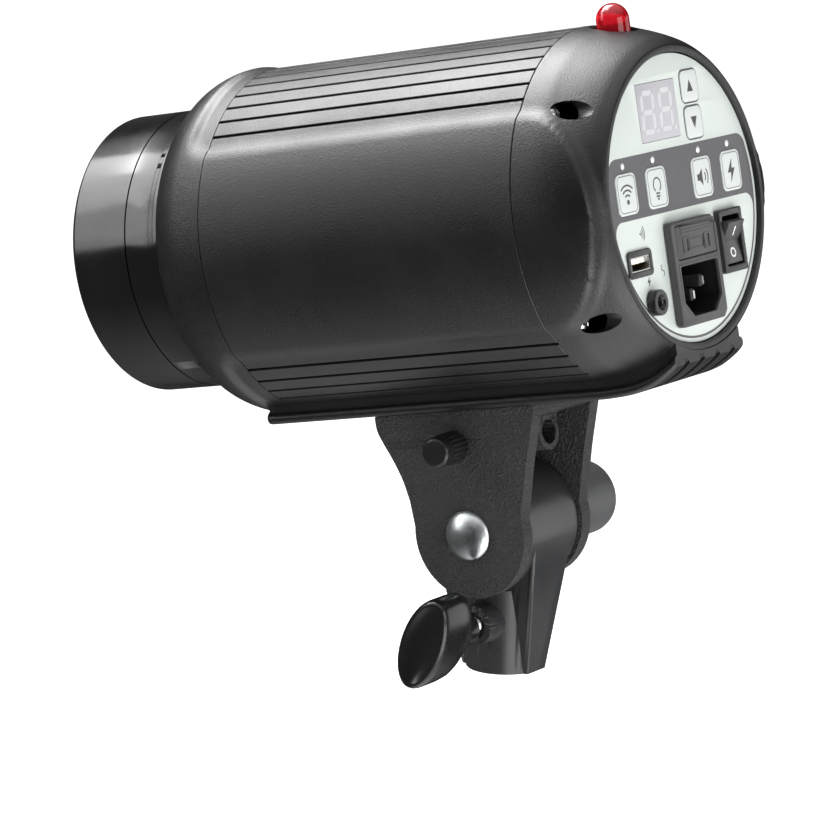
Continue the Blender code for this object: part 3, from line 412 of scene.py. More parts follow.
def with_holes(outline, *holes):
    return [(outline, False)] + [(hole, True) for hole in holes]


def cut(target, mesh, matrix=HEAD, operation="DIFFERENCE"):
    """Cuts a mesh out of a piece, and applies it."""
    tool = linked("cut", mesh)
    tool.matrix_world = matrix
    change = target.modifiers.new("cut", "BOOLEAN")
    change.operation = operation
    change.solver = "EXACT"
    change.object = tool
    graph = bpy.context.evaluated_depsgraph_get()
    result = bpy.data.meshes.new_from_object(target.evaluated_get(graph))
    target.modifiers.remove(change)
    old = target.data
    result.name = old.name + "_cut"
    target.data = result
    bpy.data.objects.remove(tool)


# ---------------------------------------------------------------- the head's body


def eased(table, y):
    """A smooth curve through (y, value) rows, without overshoot."""
    rows = sorted(table)
    if y <= rows[0][0]:
        return rows[0][1]
    if y >= rows[-1][0]:
        return rows[-1][1]
    slopes = [(b[1] - a[1]) / (b[0] - a[0]) for a, b in zip(rows, rows[1:])]
    tangents = [slopes[0]] + [0.0 if a * b <= 0 else 2 * a * b / (a + b) for a, b in zip(slopes, slopes[1:])]
    tangents.append(slopes[-1])
    i = max(k for k in range(len(rows) - 1) if rows[k][0] <= y)
    step = rows[i + 1][0] - rows[i][0]
    t = (y - rows[i][0]) / step
    return ((2 * t ** 3 - 3 * t ** 2 + 1) * rows[i][1] + (t ** 3 - 2 * t ** 2 + t) * step * tangents[i]
            + (3 * t ** 2 - 2 * t ** 3) * rows[i + 1][1] + (t ** 3 - t ** 2) * step * tangents[i + 1])


def smooth_step(low, high, value):
    t = min(max((value - low) / (high - low), 0.0), 1.0)
    return t * t * (3 - 2 * t)


def field_distance(angle, y):
    """Millimetres inside the raised side field or front shoulder; negative on the ribs and rear end."""
    from_side = abs(abs((angle + 180) % 360 - 180) - 90)
    arc = math.radians(from_side) * RIB_R
    half_arc = math.radians(90 - LEDGE_ANGLE) * RIB_R
    if y < SIDE_FIELD_BEND:
        side = half_arc - arc
    else:
        reach = (y - SIDE_FIELD_BEND) / (SIDE_FIELD_END - SIDE_FIELD_BEND)
        side = (1 - math.hypot(arc / half_arc, reach)) * half_arc
    front = RIB_FIELD_FRONT - y
    corner = 8.0
    overlap = max(corner - abs(side - front), 0.0) / corner
    return max(side, front) + overlap * overlap * corner / 4


def side_share(angle, y):
    """A soft ledge along the body, which turns into a scoop with a crisp upper edge round the rear end."""
    inside = field_distance(angle, y)
    ledge = smooth_step(-2.6, 1.6, inside)
    scoop = min(max((inside + 4.2) / 4.4, 0.0), 1.0) ** 2
    return ledge + (scoop - ledge) * smooth_step(-26.0, -14.0, y)


def body_radius(angle, y):
    share = side_share(angle, y)
    if y > REAR_SEAM:
        low = eased(REAR_END, y)
        return low + (eased(SIDE_END, y) - low) * share
    if y < FRONT_SEAM:
        return eased(FRONT_END, y) - (SIDE_R - RIB_R) * (1 - share)
    return RIB_R + (SIDE_R - RIB_R) * share


def polar(angle, radius, y):
    return (radius * math.sin(math.radians(angle)), y, radius * math.cos(math.radians(angle)))


def polar_grid(rows, step):
    """Rings at each y; a row is (y, None) on the body's surface or (y, radius)."""
    angles = [i * step for i in range(int(360 / step))]
    return [[polar(angle, body_radius(angle, y) if radius is None else radius, y) for angle in angles]
            for y, radius in rows]


def span(low, high, step):
    count = max(int(round((high - low) / step)), 1)
    return [low + (high - low) * i / count for i in range(count + 1)]


def front_shoulder():
    joint = FRONT_SEAM - 0.06
    rows = [(joint, None)] + [(y, None) for y in reversed(span(-180.9, FRONT_SEAM - 0.5, 0.9))]
    rows += [(-180.95, 52.0), (-180.8, 51.6), (-177.5, 51.6), (-167.0, 57.4), (joint, 58.2)]
    piece(loft("front_shoulder", polar_grid(rows, 2.5), True), "head", "shell", stands_for=["front_shell"])


def ribbed_section():
    """(angle, radius) round the middle of the body, with the grooves top and bottom."""
    half = math.degrees(0.55 / RIB_R)
    groove_shape = ((-1.25, 0.0), (-1.0, 0.12), (-0.8, 1.15), (0.8, 1.15), (1.0, 0.12), (1.25, 0.0))
    grooves = [3.2 + 6.4 * i for i in range(8)]
    rows = [(2.0 * i, RIB_R + (SIDE_R - RIB_R) * side_share(2.0 * i, -90.0)) for i in range(46)]
    rows = [row for row in rows if all(abs(row[0] - groove) > 1.6 * half for groove in grooves)]
    for groove in grooves:
        rows += [(groove + across * half, RIB_R - deep) for across, deep in groove_shape]
    quarter = sorted(rows)
    right = quarter + [(180 - angle, radius) for angle, radius in reversed(quarter) if angle < 90]
    return right + [(360 - angle, radius) for angle, radius in reversed(right) if 0 < angle < 180]


def ribbed_body():
    section = ribbed_section()
    front = -155.9
    rear = -28.2
    rings = []
    for y, drop in ((front, 0.2), (-155.7, 0.0), (-92.0, 0.0), (-28.4, 0.0), (rear, 0.2)):
        rings.append([polar(angle, radius - drop, y) for angle, radius in section])
    rings += [[polar(angle, 57.8, y) for angle, _ in section] for y in (rear, front)]
    piece(loft("ribbed_body", rings, True), "head", "shell", stands_for=["mid_shell"], smooth=30)


def rear_housing():
    crease = 38
    rows = [(-27.8, 58.2), (-27.8, None), (-27.6, None)] + [(y, None) for y in span(-27.0, 0.9, 0.6)]
    rows += [(1.3, 51.15), (1.52, 50.9), (1.6, 50.5), (1.6, 49.2), (1.5, 48.85), (1.2, 48.65), (-2.3, 48.6),
             (-2.3, 45.8), (-4.5, 45.8), (-12.0, 56.0)]
    housing = piece(loft("rear_housing", polar_grid(rows, 2.0), True), "head", "shell",
                    stands_for=["rear_shell"],
                    smooth=crease)
    for i, place in enumerate(SCREW_PLACES):
        profile = [(0.0, -19.3), (3.3, -19.3), (3.65, -18.6), (3.75, 4.0), (0.0, 4.0)]
        pocket = lathe(f"pocket_{i}", profile, segments=40)
        outwards = Vector((place[0], 0.0, place[1])).cross(Vector((0.0, 1.0, 0.0)))
        deep = 17.0
        base = Vector((place[0], -deep, place[1])) * MM
        lean = Matrix.Rotation(math.radians(-12.0), 4, outwards)
        pocket.transform(Matrix.Translation(base) @ lean @ Matrix.Translation((0.0, deep * MM, 0.0)))
        cut(housing, pocket)
    profile = [(0.0, 53.5), (7.6, 53.5), (8.1, 54.2), (8.2, 64.0), (0.0, 64.0)]
    cut(housing, lathe("sensor_recess", profile, "z", SENSOR, 40))
    housing.data.set_sharp_from_angle(angle=math.radians(crease))
    seat = [(5.7, 52.9), (9.5, 52.9), (9.5, 54.0), (6.6, 54.0), (5.9, 53.7)]
    piece(lathe("sensor_seat", seat, "z", SENSOR, 40), "head", "shell")


def shell_screws():
    """Domed heads with a cross slot, deep in the rear pockets."""
    top = -16.6
    for i, (x, z) in enumerate(SCREW_PLACES):
        profile = [(0.0, top), (1.2, -16.65), (2.3, -17.1), (2.9, -17.9), (2.9, -19.1), (0.0, -19.1)]
        screw = piece(lathe(f"housing_screw_{i + 1}", profile, "y", (x, z), 32), "head", "steel",
                      stands_for=[f"shell_screw_{i + 1}"])
        for turn in (0.35, 0.35 + math.pi / 2):
            arm = sheet("cross", solid(rectangle((0, 0), (3.2, 0.55), 0.1, 2)), -0.9, 0.9)
            spin = Matrix.Translation((x * MM, top * MM, z * MM)) @ Matrix.Rotation(turn, 4, "Y")
            arm.transform(spin @ Matrix.Rotation(math.pi / 2, 4, "X"))
            cut(screw, arm)


def rail():
    """The base rail with a bead along each side; its rear end turns up as the slotted chin."""
    bottoms = ((-167.0, -62.2), (-166.0, -62.6), (-164.0, -62.7), (-28.0, -62.7), (-20.0, -62.3),
               (-15.0, -61.7),
               (-8.0, -59.8), (-2.5, -57.0), (0.0, -55.4), (1.3, -54.4), (2.0, -53.8))
    halves = ((-167.0, 22.6), (-166.0, 24.3), (-164.0, 25.0), (-28.0, 25.0), (-15.0, 24.6), (-2.5, 23.6),
              (2.0, 22.8))
    stations = span(-167.0, -164.0, 0.6) + span(-162.5, -154.0, 1.4) + [-90.0] + span(-30.0, 1.9, 0.9)
    rings = []
    for y in stations:
        half = eased(halves, y)
        inner = half - RAIL_BEAD
        bottom = eased(bottoms, y)
        reach = body_radius(180.0, y) - 0.1 if y < 1.3 else 50.9
        ring = []
        for i in range(25):
            x = -inner + inner * i / 12
            ring.append((x, y, -math.sqrt(reach ** 2 - x ** 2)))
        side = []
        for step in range(19):
            turn = math.radians(90 - 10 * step)
            side.append((inner + RAIL_BEAD * math.cos(turn), bottom + RAIL_BEAD + RAIL_BEAD * math.sin(turn)))
        ring += [(x, y, z) for x, z in side] + [(-x, y, z) for x, z in reversed(side)]
        rings.append(ring)
    made = piece(loft("rail", rings), "head", "shell", stands_for=["base_rail"], smooth=30)
    # The slots climb 0.55 mm for each mm towards the rear
    along_the_chin = Matrix(((1, 0, 0, 0), (0, 0, 1, 0), (0, 1, 0.55, -1.1 * MM), (0, 0, 0, 1)))
    for x in (-15.3, -5.1, 5.1, 15.3):
        slot = sheet("chin_slot", solid(rectangle((x, -54.9), (3.0, 6.0), 1.4)), -16.0, 4.0)
        slot.transform(along_the_chin)
        slot.flip_normals()
        cut(made, slot)
    for side in (-1, 1):
        cut(made, rod("rail_hole", 2.2, -70.0, -50.0, "z", (side * 11.3, -104.0), 20))
    round_edges(made, 0.35)


def front_end():
    """The collar, with its notches and latch slots, and the cap."""
    profile = [(49.6, -197.45), (49.6, -187.3), (50.4, -187.0), (50.4, -184.7), (51.3, -184.4),
               (51.3, -180.75),
               (COLLAR_INNER, -180.75), (COLLAR_INNER, -197.45)]
    collar = piece(lathe("collar_ring", profile, segments=128, rounding=0.35), "head", "cap",
                   stands_for=["mount_collar"], smooth=50)
    for i in range(3):
        angle = math.radians(90 + 120 * i)
        place = (COLLAR_INNER * math.cos(angle), COLLAR_INNER * math.sin(angle))
        cut(collar, rod("notch", 2.0, -200.0, -189.0, "y", place, 24))
    for angle, y in ((47.0, -186.0), (141.0, -186.4)):
        slot = sheet("latch_slot", solid(rectangle((0.0, y), (3.8, 2.6), 0.5)), 48.4, 54.0)
        slot.transform(Matrix.Rotation(math.radians(angle), 4, "Y"))
        cut(collar, slot)
    profile = [(0.0, -222.5), (48.0, -222.5), (49.7, -220.8), (49.7, -198.0), (SPIGOT_R, -198.0),
               (SPIGOT_R, -193.6), (SPIGOT_R - 1.6, -193.6), (SPIGOT_R - 1.6, -218.9),
               (SPIGOT_R - 3.2, -220.5),
               (0.0, -220.5)]
    rounded = [profile[0]] + fillet(profile[:4], 1.6, 6)[1:-1] + fillet(profile[3:], 0.25, 2)
    piece(lathe("cap_shell", rounded, segments=128), "front_cap", "cap", stands_for=["front_cap"], smooth=50)


def sensor():
    foot = 53.0
    shoulder = 61.5
    profile = [(0.0, foot), (SENSOR_R, foot), (SENSOR_R, shoulder)]
    for k in range(1, 12):
        turn = math.radians(7.5 * k)
        profile.append((SENSOR_R * math.cos(turn), shoulder + SENSOR_R * math.sin(turn)))
    profile.append((0.0, shoulder + SENSOR_R))
    piece(lathe("sensor_dome_red", profile, "z", SENSOR, 48), "head", "red", stands_for=["sensor_dome"],
          smooth=50)
    core = [(0.0, 53.2), (3.4, 53.2), (3.4, 58.6), (2.6, 59.8), (0.0, 60.2)]
    piece(lathe("sensor_core", core, "z", SENSOR, 32, 0.3), "head", "dark")


# ---------------------------------------------------------------- the rear panel


PRINT_LEVEL = 0.03
DISPLAY = ((-8.7, 30.0), (25.0, 19.2))
ARROW_KEYS = {"button_up": (13.3, 36.1), "button_down": (13.3, 23.9)}
ARROW_SIZE = (10.8, 10.6)
ARROW_CORNER = 2.0
FUNCTION_KEYS = {"button_optical_trigger": (-35.5, 5.3), "button_modelling_lamp": (-16.2, 5.3),
                 "button_beeper": (13.7, 5.3), "button_test": (33.3, 5.3)}
FUNCTION_SIZE = (12.6, 13.7)
FUNCTION_CORNER = 2.4
KEY_TOP = 0.35
INDICATOR_V = 14.4
INLET = (-1.1, -24.5)
SOCKET = ((-0.8, -30.5), (24.4, 17.0))
DRAWER = ((-0.6, -14.1), (25.3, 11.0))
SWITCH = ((25.4, -17.7), (15.5, 21.5))
USB = ((-33.7, -17.8), (15.2, 9.0))
SYNC = (-28.5, -31.5)


def grown(size, by):
    return (size[0] + by, size[1] + by)


def moved(outline, centre):
    return [(a + centre[0], b + centre[1]) for a, b in outline]


def merged(name, *meshes):
    work = bmesh.new()
    for mesh in meshes:
        work.from_mesh(mesh)
    made = bpy.data.meshes.new(name)
    work.to_mesh(made)
    work.free()
    return made


def arc_band(centre, radius, width, start, end, steps=14):
    """A curved bar: part of a ring, between two angles in degrees."""
    turns = [math.radians(start + (end - start) * i / steps) for i in range(steps + 1)]
    outer = [(math.cos(turn) * (radius + width / 2), math.sin(turn) * (radius + width / 2)) for turn in turns]
    inner = [(math.cos(turn) * (radius - width / 2), math.sin(turn) * (radius - width / 2)) for turn in turns]
    return moved(outer + inner[::-1], centre)


def bar(start, end, width):
    """A straight bar with pointed ends, as in a digit's segment."""
    start = Vector(start)
    end = Vector(end)
    along = (end - start).normalized() * width / 2
    side = Vector((-along.y, along.x))
    return [tuple(point) for point in (start, start + along - side, end - along - side, end,
                                       end - along + side, start + along + side)]


def printed(name, outlines, body="head", look="ink", level=0.0, matrix=PANEL, thick=PRINT_LEVEL):
    return piece(sheet(name, outlines, level - 0.05, level + thick), body, look, matrix)


def key_hole(place, size, corner):
    return rectangle(place, grown(size, GAP), corner + GAP / 2)


def function_field_holes():
    """The holes for the function keys and for the indicators above them."""
    holes = [key_hole(place, FUNCTION_SIZE, FUNCTION_CORNER) for place in FUNCTION_KEYS.values()]
    return holes + [circle((u, INDICATOR_V), 1.3, 20) for u, _ in FUNCTION_KEYS.values()]


def panel_plate():
    holes = function_field_holes()
    holes += [key_hole(place, ARROW_SIZE, ARROW_CORNER) for place in ARROW_KEYS.values()]
    holes += [rectangle(DISPLAY[0], grown(DISPLAY[1], GAP)), rectangle(INLET, (27.1, 31.3)),
              rectangle(SWITCH[0], (13.6, 19.4)), rectangle(USB[0], (13.6, 7.6)), circle(SYNC, 3.5)]
    plate = sheet("panel_plate", with_holes(circle((0, 0), 48.2, 160), *holes), -2.0, 0.0, 0.06)
    piece(plate, "head", "panel", PANEL, ["control_panel"])


def disc_below(top, radius, corner):
    """The part of a disc below a level, with round corners."""
    centre = Vector((math.sqrt((radius - corner) ** 2 - (top - corner) ** 2), top - corner))
    meeting = math.degrees(math.atan2(centre.y, centre.x))
    rounded = [math.radians(90 - (90 - meeting) * i / 10) for i in range(11)]
    right = [(centre.x + corner * math.cos(turn), centre.y + corner * math.sin(turn)) for turn in rounded]
    steps = int((meeting + 90) / 2.5)
    turns = [math.radians(meeting - (meeting + 90) * i / steps) for i in range(1, steps)]
    right += [(radius * math.cos(turn), radius * math.sin(turn)) for turn in turns]
    return right + [(0.0, -radius)] + [(-u, v) for u, v in reversed(right)]


def panel_band():
    """The dark print behind the function keys; it runs on as a line round the lower white field."""
    field = disc_below(-3.4, 46.1, 4.5)
    outlines = with_holes(disc_below(17.2, 46.9, 5.5), field, *function_field_holes())
    printed("panel_band", outlines, look="print")


def key_cap(name, centre, size, corner, line_inset):
    cap = sheet("cap", solid(rectangle(centre, size, corner)), -2.7, KEY_TOP, 0.22)
    flange = sheet("flange", solid(rectangle(centre, grown(size, 0.5), corner)), -4.0, -2.6)
    piece(merged(name + "_cap", cap, flange), name, "key", PANEL, [name])
    if line_inset:
        line = grown(size, -2 * line_inset)
        outer = rectangle(centre, line, corner - line_inset / 2)
        inner = rectangle(centre, grown(line, -0.5), corner - line_inset / 2 - 0.25)
        printed(name + "_line", with_holes(outer, inner), name, level=KEY_TOP, look="print")


def key_caps():
    for name, place in FUNCTION_KEYS.items():
        key_cap(name, place, FUNCTION_SIZE, FUNCTION_CORNER, 0.75)
    for name, place in ARROW_KEYS.items():
        key_cap(name, place, ARROW_SIZE, ARROW_CORNER, 0.0)
        outer = rectangle(place, grown(ARROW_SIZE, 1.1), 2.6)
        printed(name + "_frame", with_holes(outer, key_hole(place, ARROW_SIZE, ARROW_CORNER)), look="print")


def key_icons():
    """Simple signs in place of words: light sensor, lamp, loudspeaker, flash, up and down."""
    at = FUNCTION_KEYS["button_optical_trigger"]
    source = (at[0], at[1] - 2.6)
    shapes = [circle(source, 0.85, 20)]
    shapes += [arc_band(source, radius, 0.6, 48, 132) for radius in (2.3, 3.9, 5.5)]
    printed("icon_sensor", solid(*shapes), "button_optical_trigger", level=KEY_TOP)
    at = FUNCTION_KEYS["button_modelling_lamp"]
    shapes = [arc_band((at[0], at[1] + 0.9), 2.3, 0.55, -58, 238, 30)]
    threads = ((1.9, 2.4), (2.9, 2.4), (3.8, 1.3))
    shapes += [rectangle((at[0], at[1] - v), (width, 0.6), 0.2) for v, width in threads]
    printed("icon_lamp", solid(*shapes), "button_modelling_lamp", level=KEY_TOP)
    at = FUNCTION_KEYS["button_beeper"]
    horn = [(-3.4, -1.1), (-1.9, -1.1), (0.0, -2.9), (0.0, 2.9), (-1.9, 1.1), (-3.4, 1.1)]
    shapes = [moved(horn, at)] + [arc_band(at, radius, 0.55, -42, 42) for radius in (2.0, 3.6)]
    printed("icon_beeper", solid(*shapes), "button_beeper", level=KEY_TOP)
    bolt = [(1.0, 4.1), (-2.5, -0.7), (-0.35, -0.7), (-1.0, -4.1), (2.5, 0.7), (0.35, 0.7)]
    printed("icon_flash", solid(moved(bolt, FUNCTION_KEYS["button_test"])), "button_test", level=KEY_TOP)
    for name, sign in (("button_up", 1), ("button_down", -1)):
        arrow = [(-2.0, -1.9 * sign), (2.0, -1.9 * sign), (0.0, 2.1 * sign)]
        printed(name + "_arrow", solid(moved(arrow, ARROW_KEYS[name])), name, level=KEY_TOP)


def panel_icons():
    """Small signs beside the sockets: radio waves, flash and alternating current."""
    u, v = USB[0]
    shapes = [arc_band((u + 3.0, v + 9.4), radius, 0.35, -50, 50) for radius in (1.2, 2.1, 3.0)]
    shapes.append(circle((u + 3.2, v + 9.4), 0.4, 16))
    printed("icon_remote", solid(*shapes))
    u, v = SYNC
    small = [(0.5, 1.8), (-1.1, -0.3), (-0.15, -0.3), (-0.5, -1.8), (1.1, 0.3), (0.15, 0.3)]
    printed("icon_sync", solid(moved(small, (u - 0.4, v + 7.2))))
    wave = [arc_band((-19.4, -21.0), 0.9, 0.3, 90, 270), arc_band((-19.4, -22.8), 0.9, 0.3, -90, 90)]
    printed("icon_mains", solid(*wave))


def display():
    """The window, with two unlit digits and their points behind it."""
    (u, v), size = DISPLAY
    pane = sheet("pane", solid(rectangle((u, v), size)), -2.6, 0.1, 0.05)
    case = sheet("case", solid(rectangle((u, v), grown(size, 0.6))), -8.0, -2.4)
    piece(merged("display_pane", pane, case), "head", "display", PANEL, ["display_window"])
    shapes = []
    for du in (-6.3, 5.2):
        shapes += [bar((du - 3.1, dv), (du + 3.1, dv), 1.7) for dv in (-6.4, 0.0, 6.4)]
        for upright in (du - 3.5, du + 3.5):
            shapes += [bar((upright, low), (upright, high), 1.7) for low, high in ((0.4, 6.0), (-6.0, -0.4))]
        shapes.append(circle((du + 5.3, -6.5), 0.8, 20))
    shapes = [[(u + a + 0.07 * b, v + b) for a, b in shape] for shape in shapes]
    printed("display_digits", solid(*shapes), look="digit", level=0.1)


def indicators():
    for i, (u, _) in enumerate(FUNCTION_KEYS.values()):
        profile = [(0.0, -11.6), (1.0, -11.6), (1.0, -0.15), (0.8, 0.05), (0.45, 0.13), (0.0, 0.15)]
        piece(lathe(f"indicator_lens_{i + 1}", profile, "z", (u, INDICATOR_V), 24), "head", "lens", PANEL,
              [f"indicator_{i + 1}"])


def inlet():
    """One flange round the mains inlet and the fuse drawer, with its two right corners cut off."""
    flange = [(-15.0, -17.5), (12.6, -17.5), (15.0, -15.2), (15.0, 14.2), (12.0, 17.5), (-15.0, 17.5)]
    flange = fillet(moved(flange, INLET), 1.7, 5, True)
    (u, v), (width, height) = SOCKET
    right, top, chamfer = width / 2, height / 2, 5.0
    cavity = [(chamfer - right, -top), (right - chamfer, -top), (right, chamfer - top), (right, top),
              (-right, top), (-right, chamfer - top)]
    cavity = fillet(moved(cavity, (u, v)), 0.8, 3, True)
    drawer = rectangle(DRAWER[0], grown(DRAWER[1], GAP), 0.5, 2)
    narrow = rectangle(DRAWER[0], (22.6, 9.6))
    body = rectangle(INLET, (26.8, 31.0), 1.0)
    lip = [(a * 1.09 + u * -0.09, b * 1.12 + v * -0.12) for a, b in cavity]
    piece(sheet("inlet_flange", with_holes(flange, cavity, drawer), 0.25, 3.1, 0.45), "head", "inlet", PANEL,
          ["inlet_housing"])
    layers = [sheet("front", with_holes(body, cavity, narrow), -13.2, 2.2),
              sheet("middle", with_holes(body, narrow), -19.2, -13.0),
              sheet("back", solid(body), -24.0, -19.0)]
    piece(merged("inlet_body", *layers), "head", "dark", PANEL)
    piece(sheet("inlet_lip", with_holes(lip, cavity), 2.9, 3.2, 0.12), "head", "inlet", PANEL)


def fuse_drawer():
    centre, size = DRAWER
    front = sheet("front", solid(rectangle(centre, size, 0.6, 3)), 1.1, 2.95, 0.3)
    tray = sheet("tray", with_holes(rectangle(centre, (22.0, 9.0)), rectangle(centre, (18.0, 5.6))), -18.4,
                 1.2)
    piece(merged("drawer_body", front, tray), "fuse_drawer", "inlet", PANEL, ["fuse_drawer"])
    u, v = centre
    v -= 1.2
    line = 0.35
    shapes = with_holes(rectangle((u, v), (9.6, 3.4)), rectangle((u, v), (9.6 - line, 3.4 - line)))
    for side in (-1, 1):
        end = (u + side * 7.0, v)
        shapes += with_holes(rectangle(end, (3.4, 5.0)), rectangle(end, (3.4 - 2 * line, 5.0 - 2 * line)))
    printed("fuse_sign", shapes, "fuse_drawer", "inlet", level=2.95, thick=0.3)
    ribs = [rectangle((u, v + height), (19.0, 0.4), 0.15) for height in (3.9, 4.9, 5.9)]
    printed("drawer_grip", solid(*ribs), "fuse_drawer", "inlet", level=2.95, thick=0.3)


def power_switch():
    centre, size = SWITCH
    well = rectangle(centre, (11.2, 16.8), 0.3, 2)
    body = rectangle(centre, (13.0, 18.8), 0.5, 2)
    layers = [sheet("bezel", with_holes(rectangle(centre, size, 1.0), well), 0.25, 2.2, 0.4),
              sheet("walls", with_holes(body, well), -8.2, 0.6), sheet("back", solid(body), -18.0, -8.0)]
    piece(merged("switch_frame", *layers), "head", "black", PANEL, ["switch_bezel"])
    tilt = Matrix.Rotation(math.radians(-11.0), 4, "Z")
    rocker = SIDE @ Matrix.Translation(Vector((-1.0, centre[1], -centre[0])) * MM) @ tilt
    outline = fillet([(-4.6, -2.5), (-4.6, 2.5), (1.6, 7.4), (4.3, 7.3), (2.0, 0.0), (4.3, -7.3),
                      (1.6, -7.4)],
                     0.5, 4, True)
    piece(sheet("rocker", solid(outline), -5.2, 5.2, 0.3), "switch_rocker", "inlet", rocker,
          ["switch_rocker"])
    lean = math.atan2(2.3, 7.3)
    for sign, name in ((1, "mark_on"), (-1, "mark_off")):
        middle = Matrix.Translation(Vector((3.15, 3.65 * sign, 0.0)) * MM)
        face = rocker @ middle @ Matrix.Rotation(-lean * sign, 4, "Z")
        face = face @ Matrix(((0, 0, 1, 0), (0, 1, 0, 0), (-1, 0, 0, 0), (0, 0, 0, 1)))
        shape = solid(rectangle((0, 0), (0.6, 3.4), 0.25))
        if sign < 0:
            shape = with_holes(circle((0, 0), 1.7), circle((0, 0), 1.1))
        printed(name, shape, "switch_rocker", "mark", matrix=face)


def small_sockets():
    (u, v), size = USB
    opening = rectangle((u, v), (12.0, 4.9), 0.3, 2)
    body = rectangle((u, v), (13.0, 7.0), 0.5, 2)
    layers = [sheet("surround", with_holes(rectangle((u, v), size, 1.6), opening), 0.2, 0.8, 0.2),
              sheet("walls", with_holes(body, opening), -11.7, 0.4), sheet("back", solid(body), -13.0, -11.5)]
    piece(merged("usb_body", *layers), "head", "black", PANEL, ["usb_socket"])
    shield = with_holes(rectangle((u, v), (11.9, 4.8), 0.3, 2), rectangle((u, v), (11.2, 4.1), 0.2, 2))
    piece(sheet("usb_shield", shield, -11.4, 0.55, 0.05), "head", "steel", PANEL)
    tongue = sheet("usb_blade", solid(rectangle((u, v + 1.0), (10.6, 1.7), 0.2, 2)), -11.4, -0.9, 0.1)
    piece(tongue, "head", "ceramic", PANEL, ["usb_tongue"])
    contacts = [rectangle((u + k * 2.5, v + 0.1), (1.3, 0.3)) for k in (-1.5, -0.5, 0.5, 1.5)]
    piece(sheet("usb_contacts", solid(*contacts), -11.0, -1.2), "head", "brass", PANEL)
    jack = [(1.8, -12.0), (3.2, -12.0), (3.2, 0.25), (4.3, 0.25), (4.3, 3.5), (2.6, 3.5), (2.3, 2.7),
            (1.8, 2.4)]
    piece(lathe("sync_body", jack, "z", SYNC, 48, 0.25), "head", "black", PANEL, ["sync_jack"], smooth=50)
    piece(lathe("sync_contact", band(1.35, 1.7, -11.0, 1.2), "z", SYNC, 32), "head", "steel", PANEL)


# ---------------------------------------------------------------- the bracket and its hardware


def smoothed(points, steps=4):
    """A curve through all the points (Catmull-Rom)."""
    ends = [points[0]] + list(points) + [points[-1]]
    out = []
    for a, b, c, d in zip(ends, ends[1:], ends[2:], ends[3:]):
        a, b, c, d = Vector(a), Vector(b), Vector(c), Vector(d)
        for i in range(steps):
            t = i / steps
            out.append(tuple(0.5 * (2 * b + (c - a) * t + (2 * a - 5 * b + 4 * c - d) * t * t
                                    + (3 * b - a - 3 * c + d) * t ** 3)))
    return out + [tuple(points[-1])]


def yoke():
    rear = smoothed([(-57.0, -63.0), (-57.3, -66.5), (-59.8, -74.2), (-63.0, -84.0), (-66.3, -96.0)])
    # The angle at which the rounded end meets the straight edges
    start = math.atan2(4.2, 22.0)
    centre = (BOLT[0] + 0.4, BOLT[1])
    turns = [start - (math.pi + 2 * start) * i / 40 for i in range(41)]
    end = [(centre[0] + CHEEK_R * math.cos(turn), centre[1] + CHEEK_R * math.sin(turn)) for turn in turns]
    front = smoothed([(-112.4, -93.0), (-114.0, -86.0), (-116.8, -78.8), (-120.4, -71.5), (-121.9, -67.5),
                      (-122.0, -63.0)])
    outline = solid(rear + end + front)
    made = piece(sheet("yoke", outline, -CHEEK_OUTER, CHEEK_OUTER), "head", "coat", SIDE, ["tilt_bracket"])
    inside = solid(rectangle((-90.0, -112.8), (90.0, 90.0), 2.5))
    cut(made, sheet("inside", inside, -CHEEK_INNER, CHEEK_INNER), SIDE)
    rib = mesh_box((-UMBRELLA_TUBE_R, -116.0, UMBRELLA_TUBE[1]), (UMBRELLA_TUBE_R, -66.0, -64.0))
    cut(made, rib, HEAD, "UNION")
    cut(made, rod("tube", UMBRELLA_TUBE_R, -116.2, -65.8, "y", UMBRELLA_TUBE, 48), HEAD, "UNION")
    for hole in (rod("bore", UMBRELLA_BORE_R, -130.0, -50.0, "y", UMBRELLA_TUBE, 40),
                 rod("lock", 2.8, 0.0, 30.0, "x", UMBRELLA_LOCK),
                 rod("bolt", BOLT_HOLE_R, -30.0, 30.0, "x", BOLT)):
        cut(made, hole)
    round_edges(made, 0.8)


def mesh_box(low, high):
    corners = [(x, y, z) for x in (low[0], high[0]) for y in (low[1], high[1]) for z in (low[2], high[2])]
    faces = [(0, 1, 3, 2), (4, 6, 7, 5), (0, 4, 5, 1), (2, 3, 7, 6), (0, 2, 6, 4), (1, 5, 7, 3)]
    return mesh_of("box", corners, faces)


def round_edges(made, width):
    rounding = made.modifiers.new("edges", "BEVEL")
    rounding.width = width * MM
    rounding.segments = 3
    rounding.limit_method = "ANGLE"
    rounding.angle_limit = math.radians(35.0)
    made.data.shade_smooth()
    flat = made.modifiers.new("flat_faces", "WEIGHTED_NORMAL")
    flat.weight = 100
    flat.keep_sharp = False


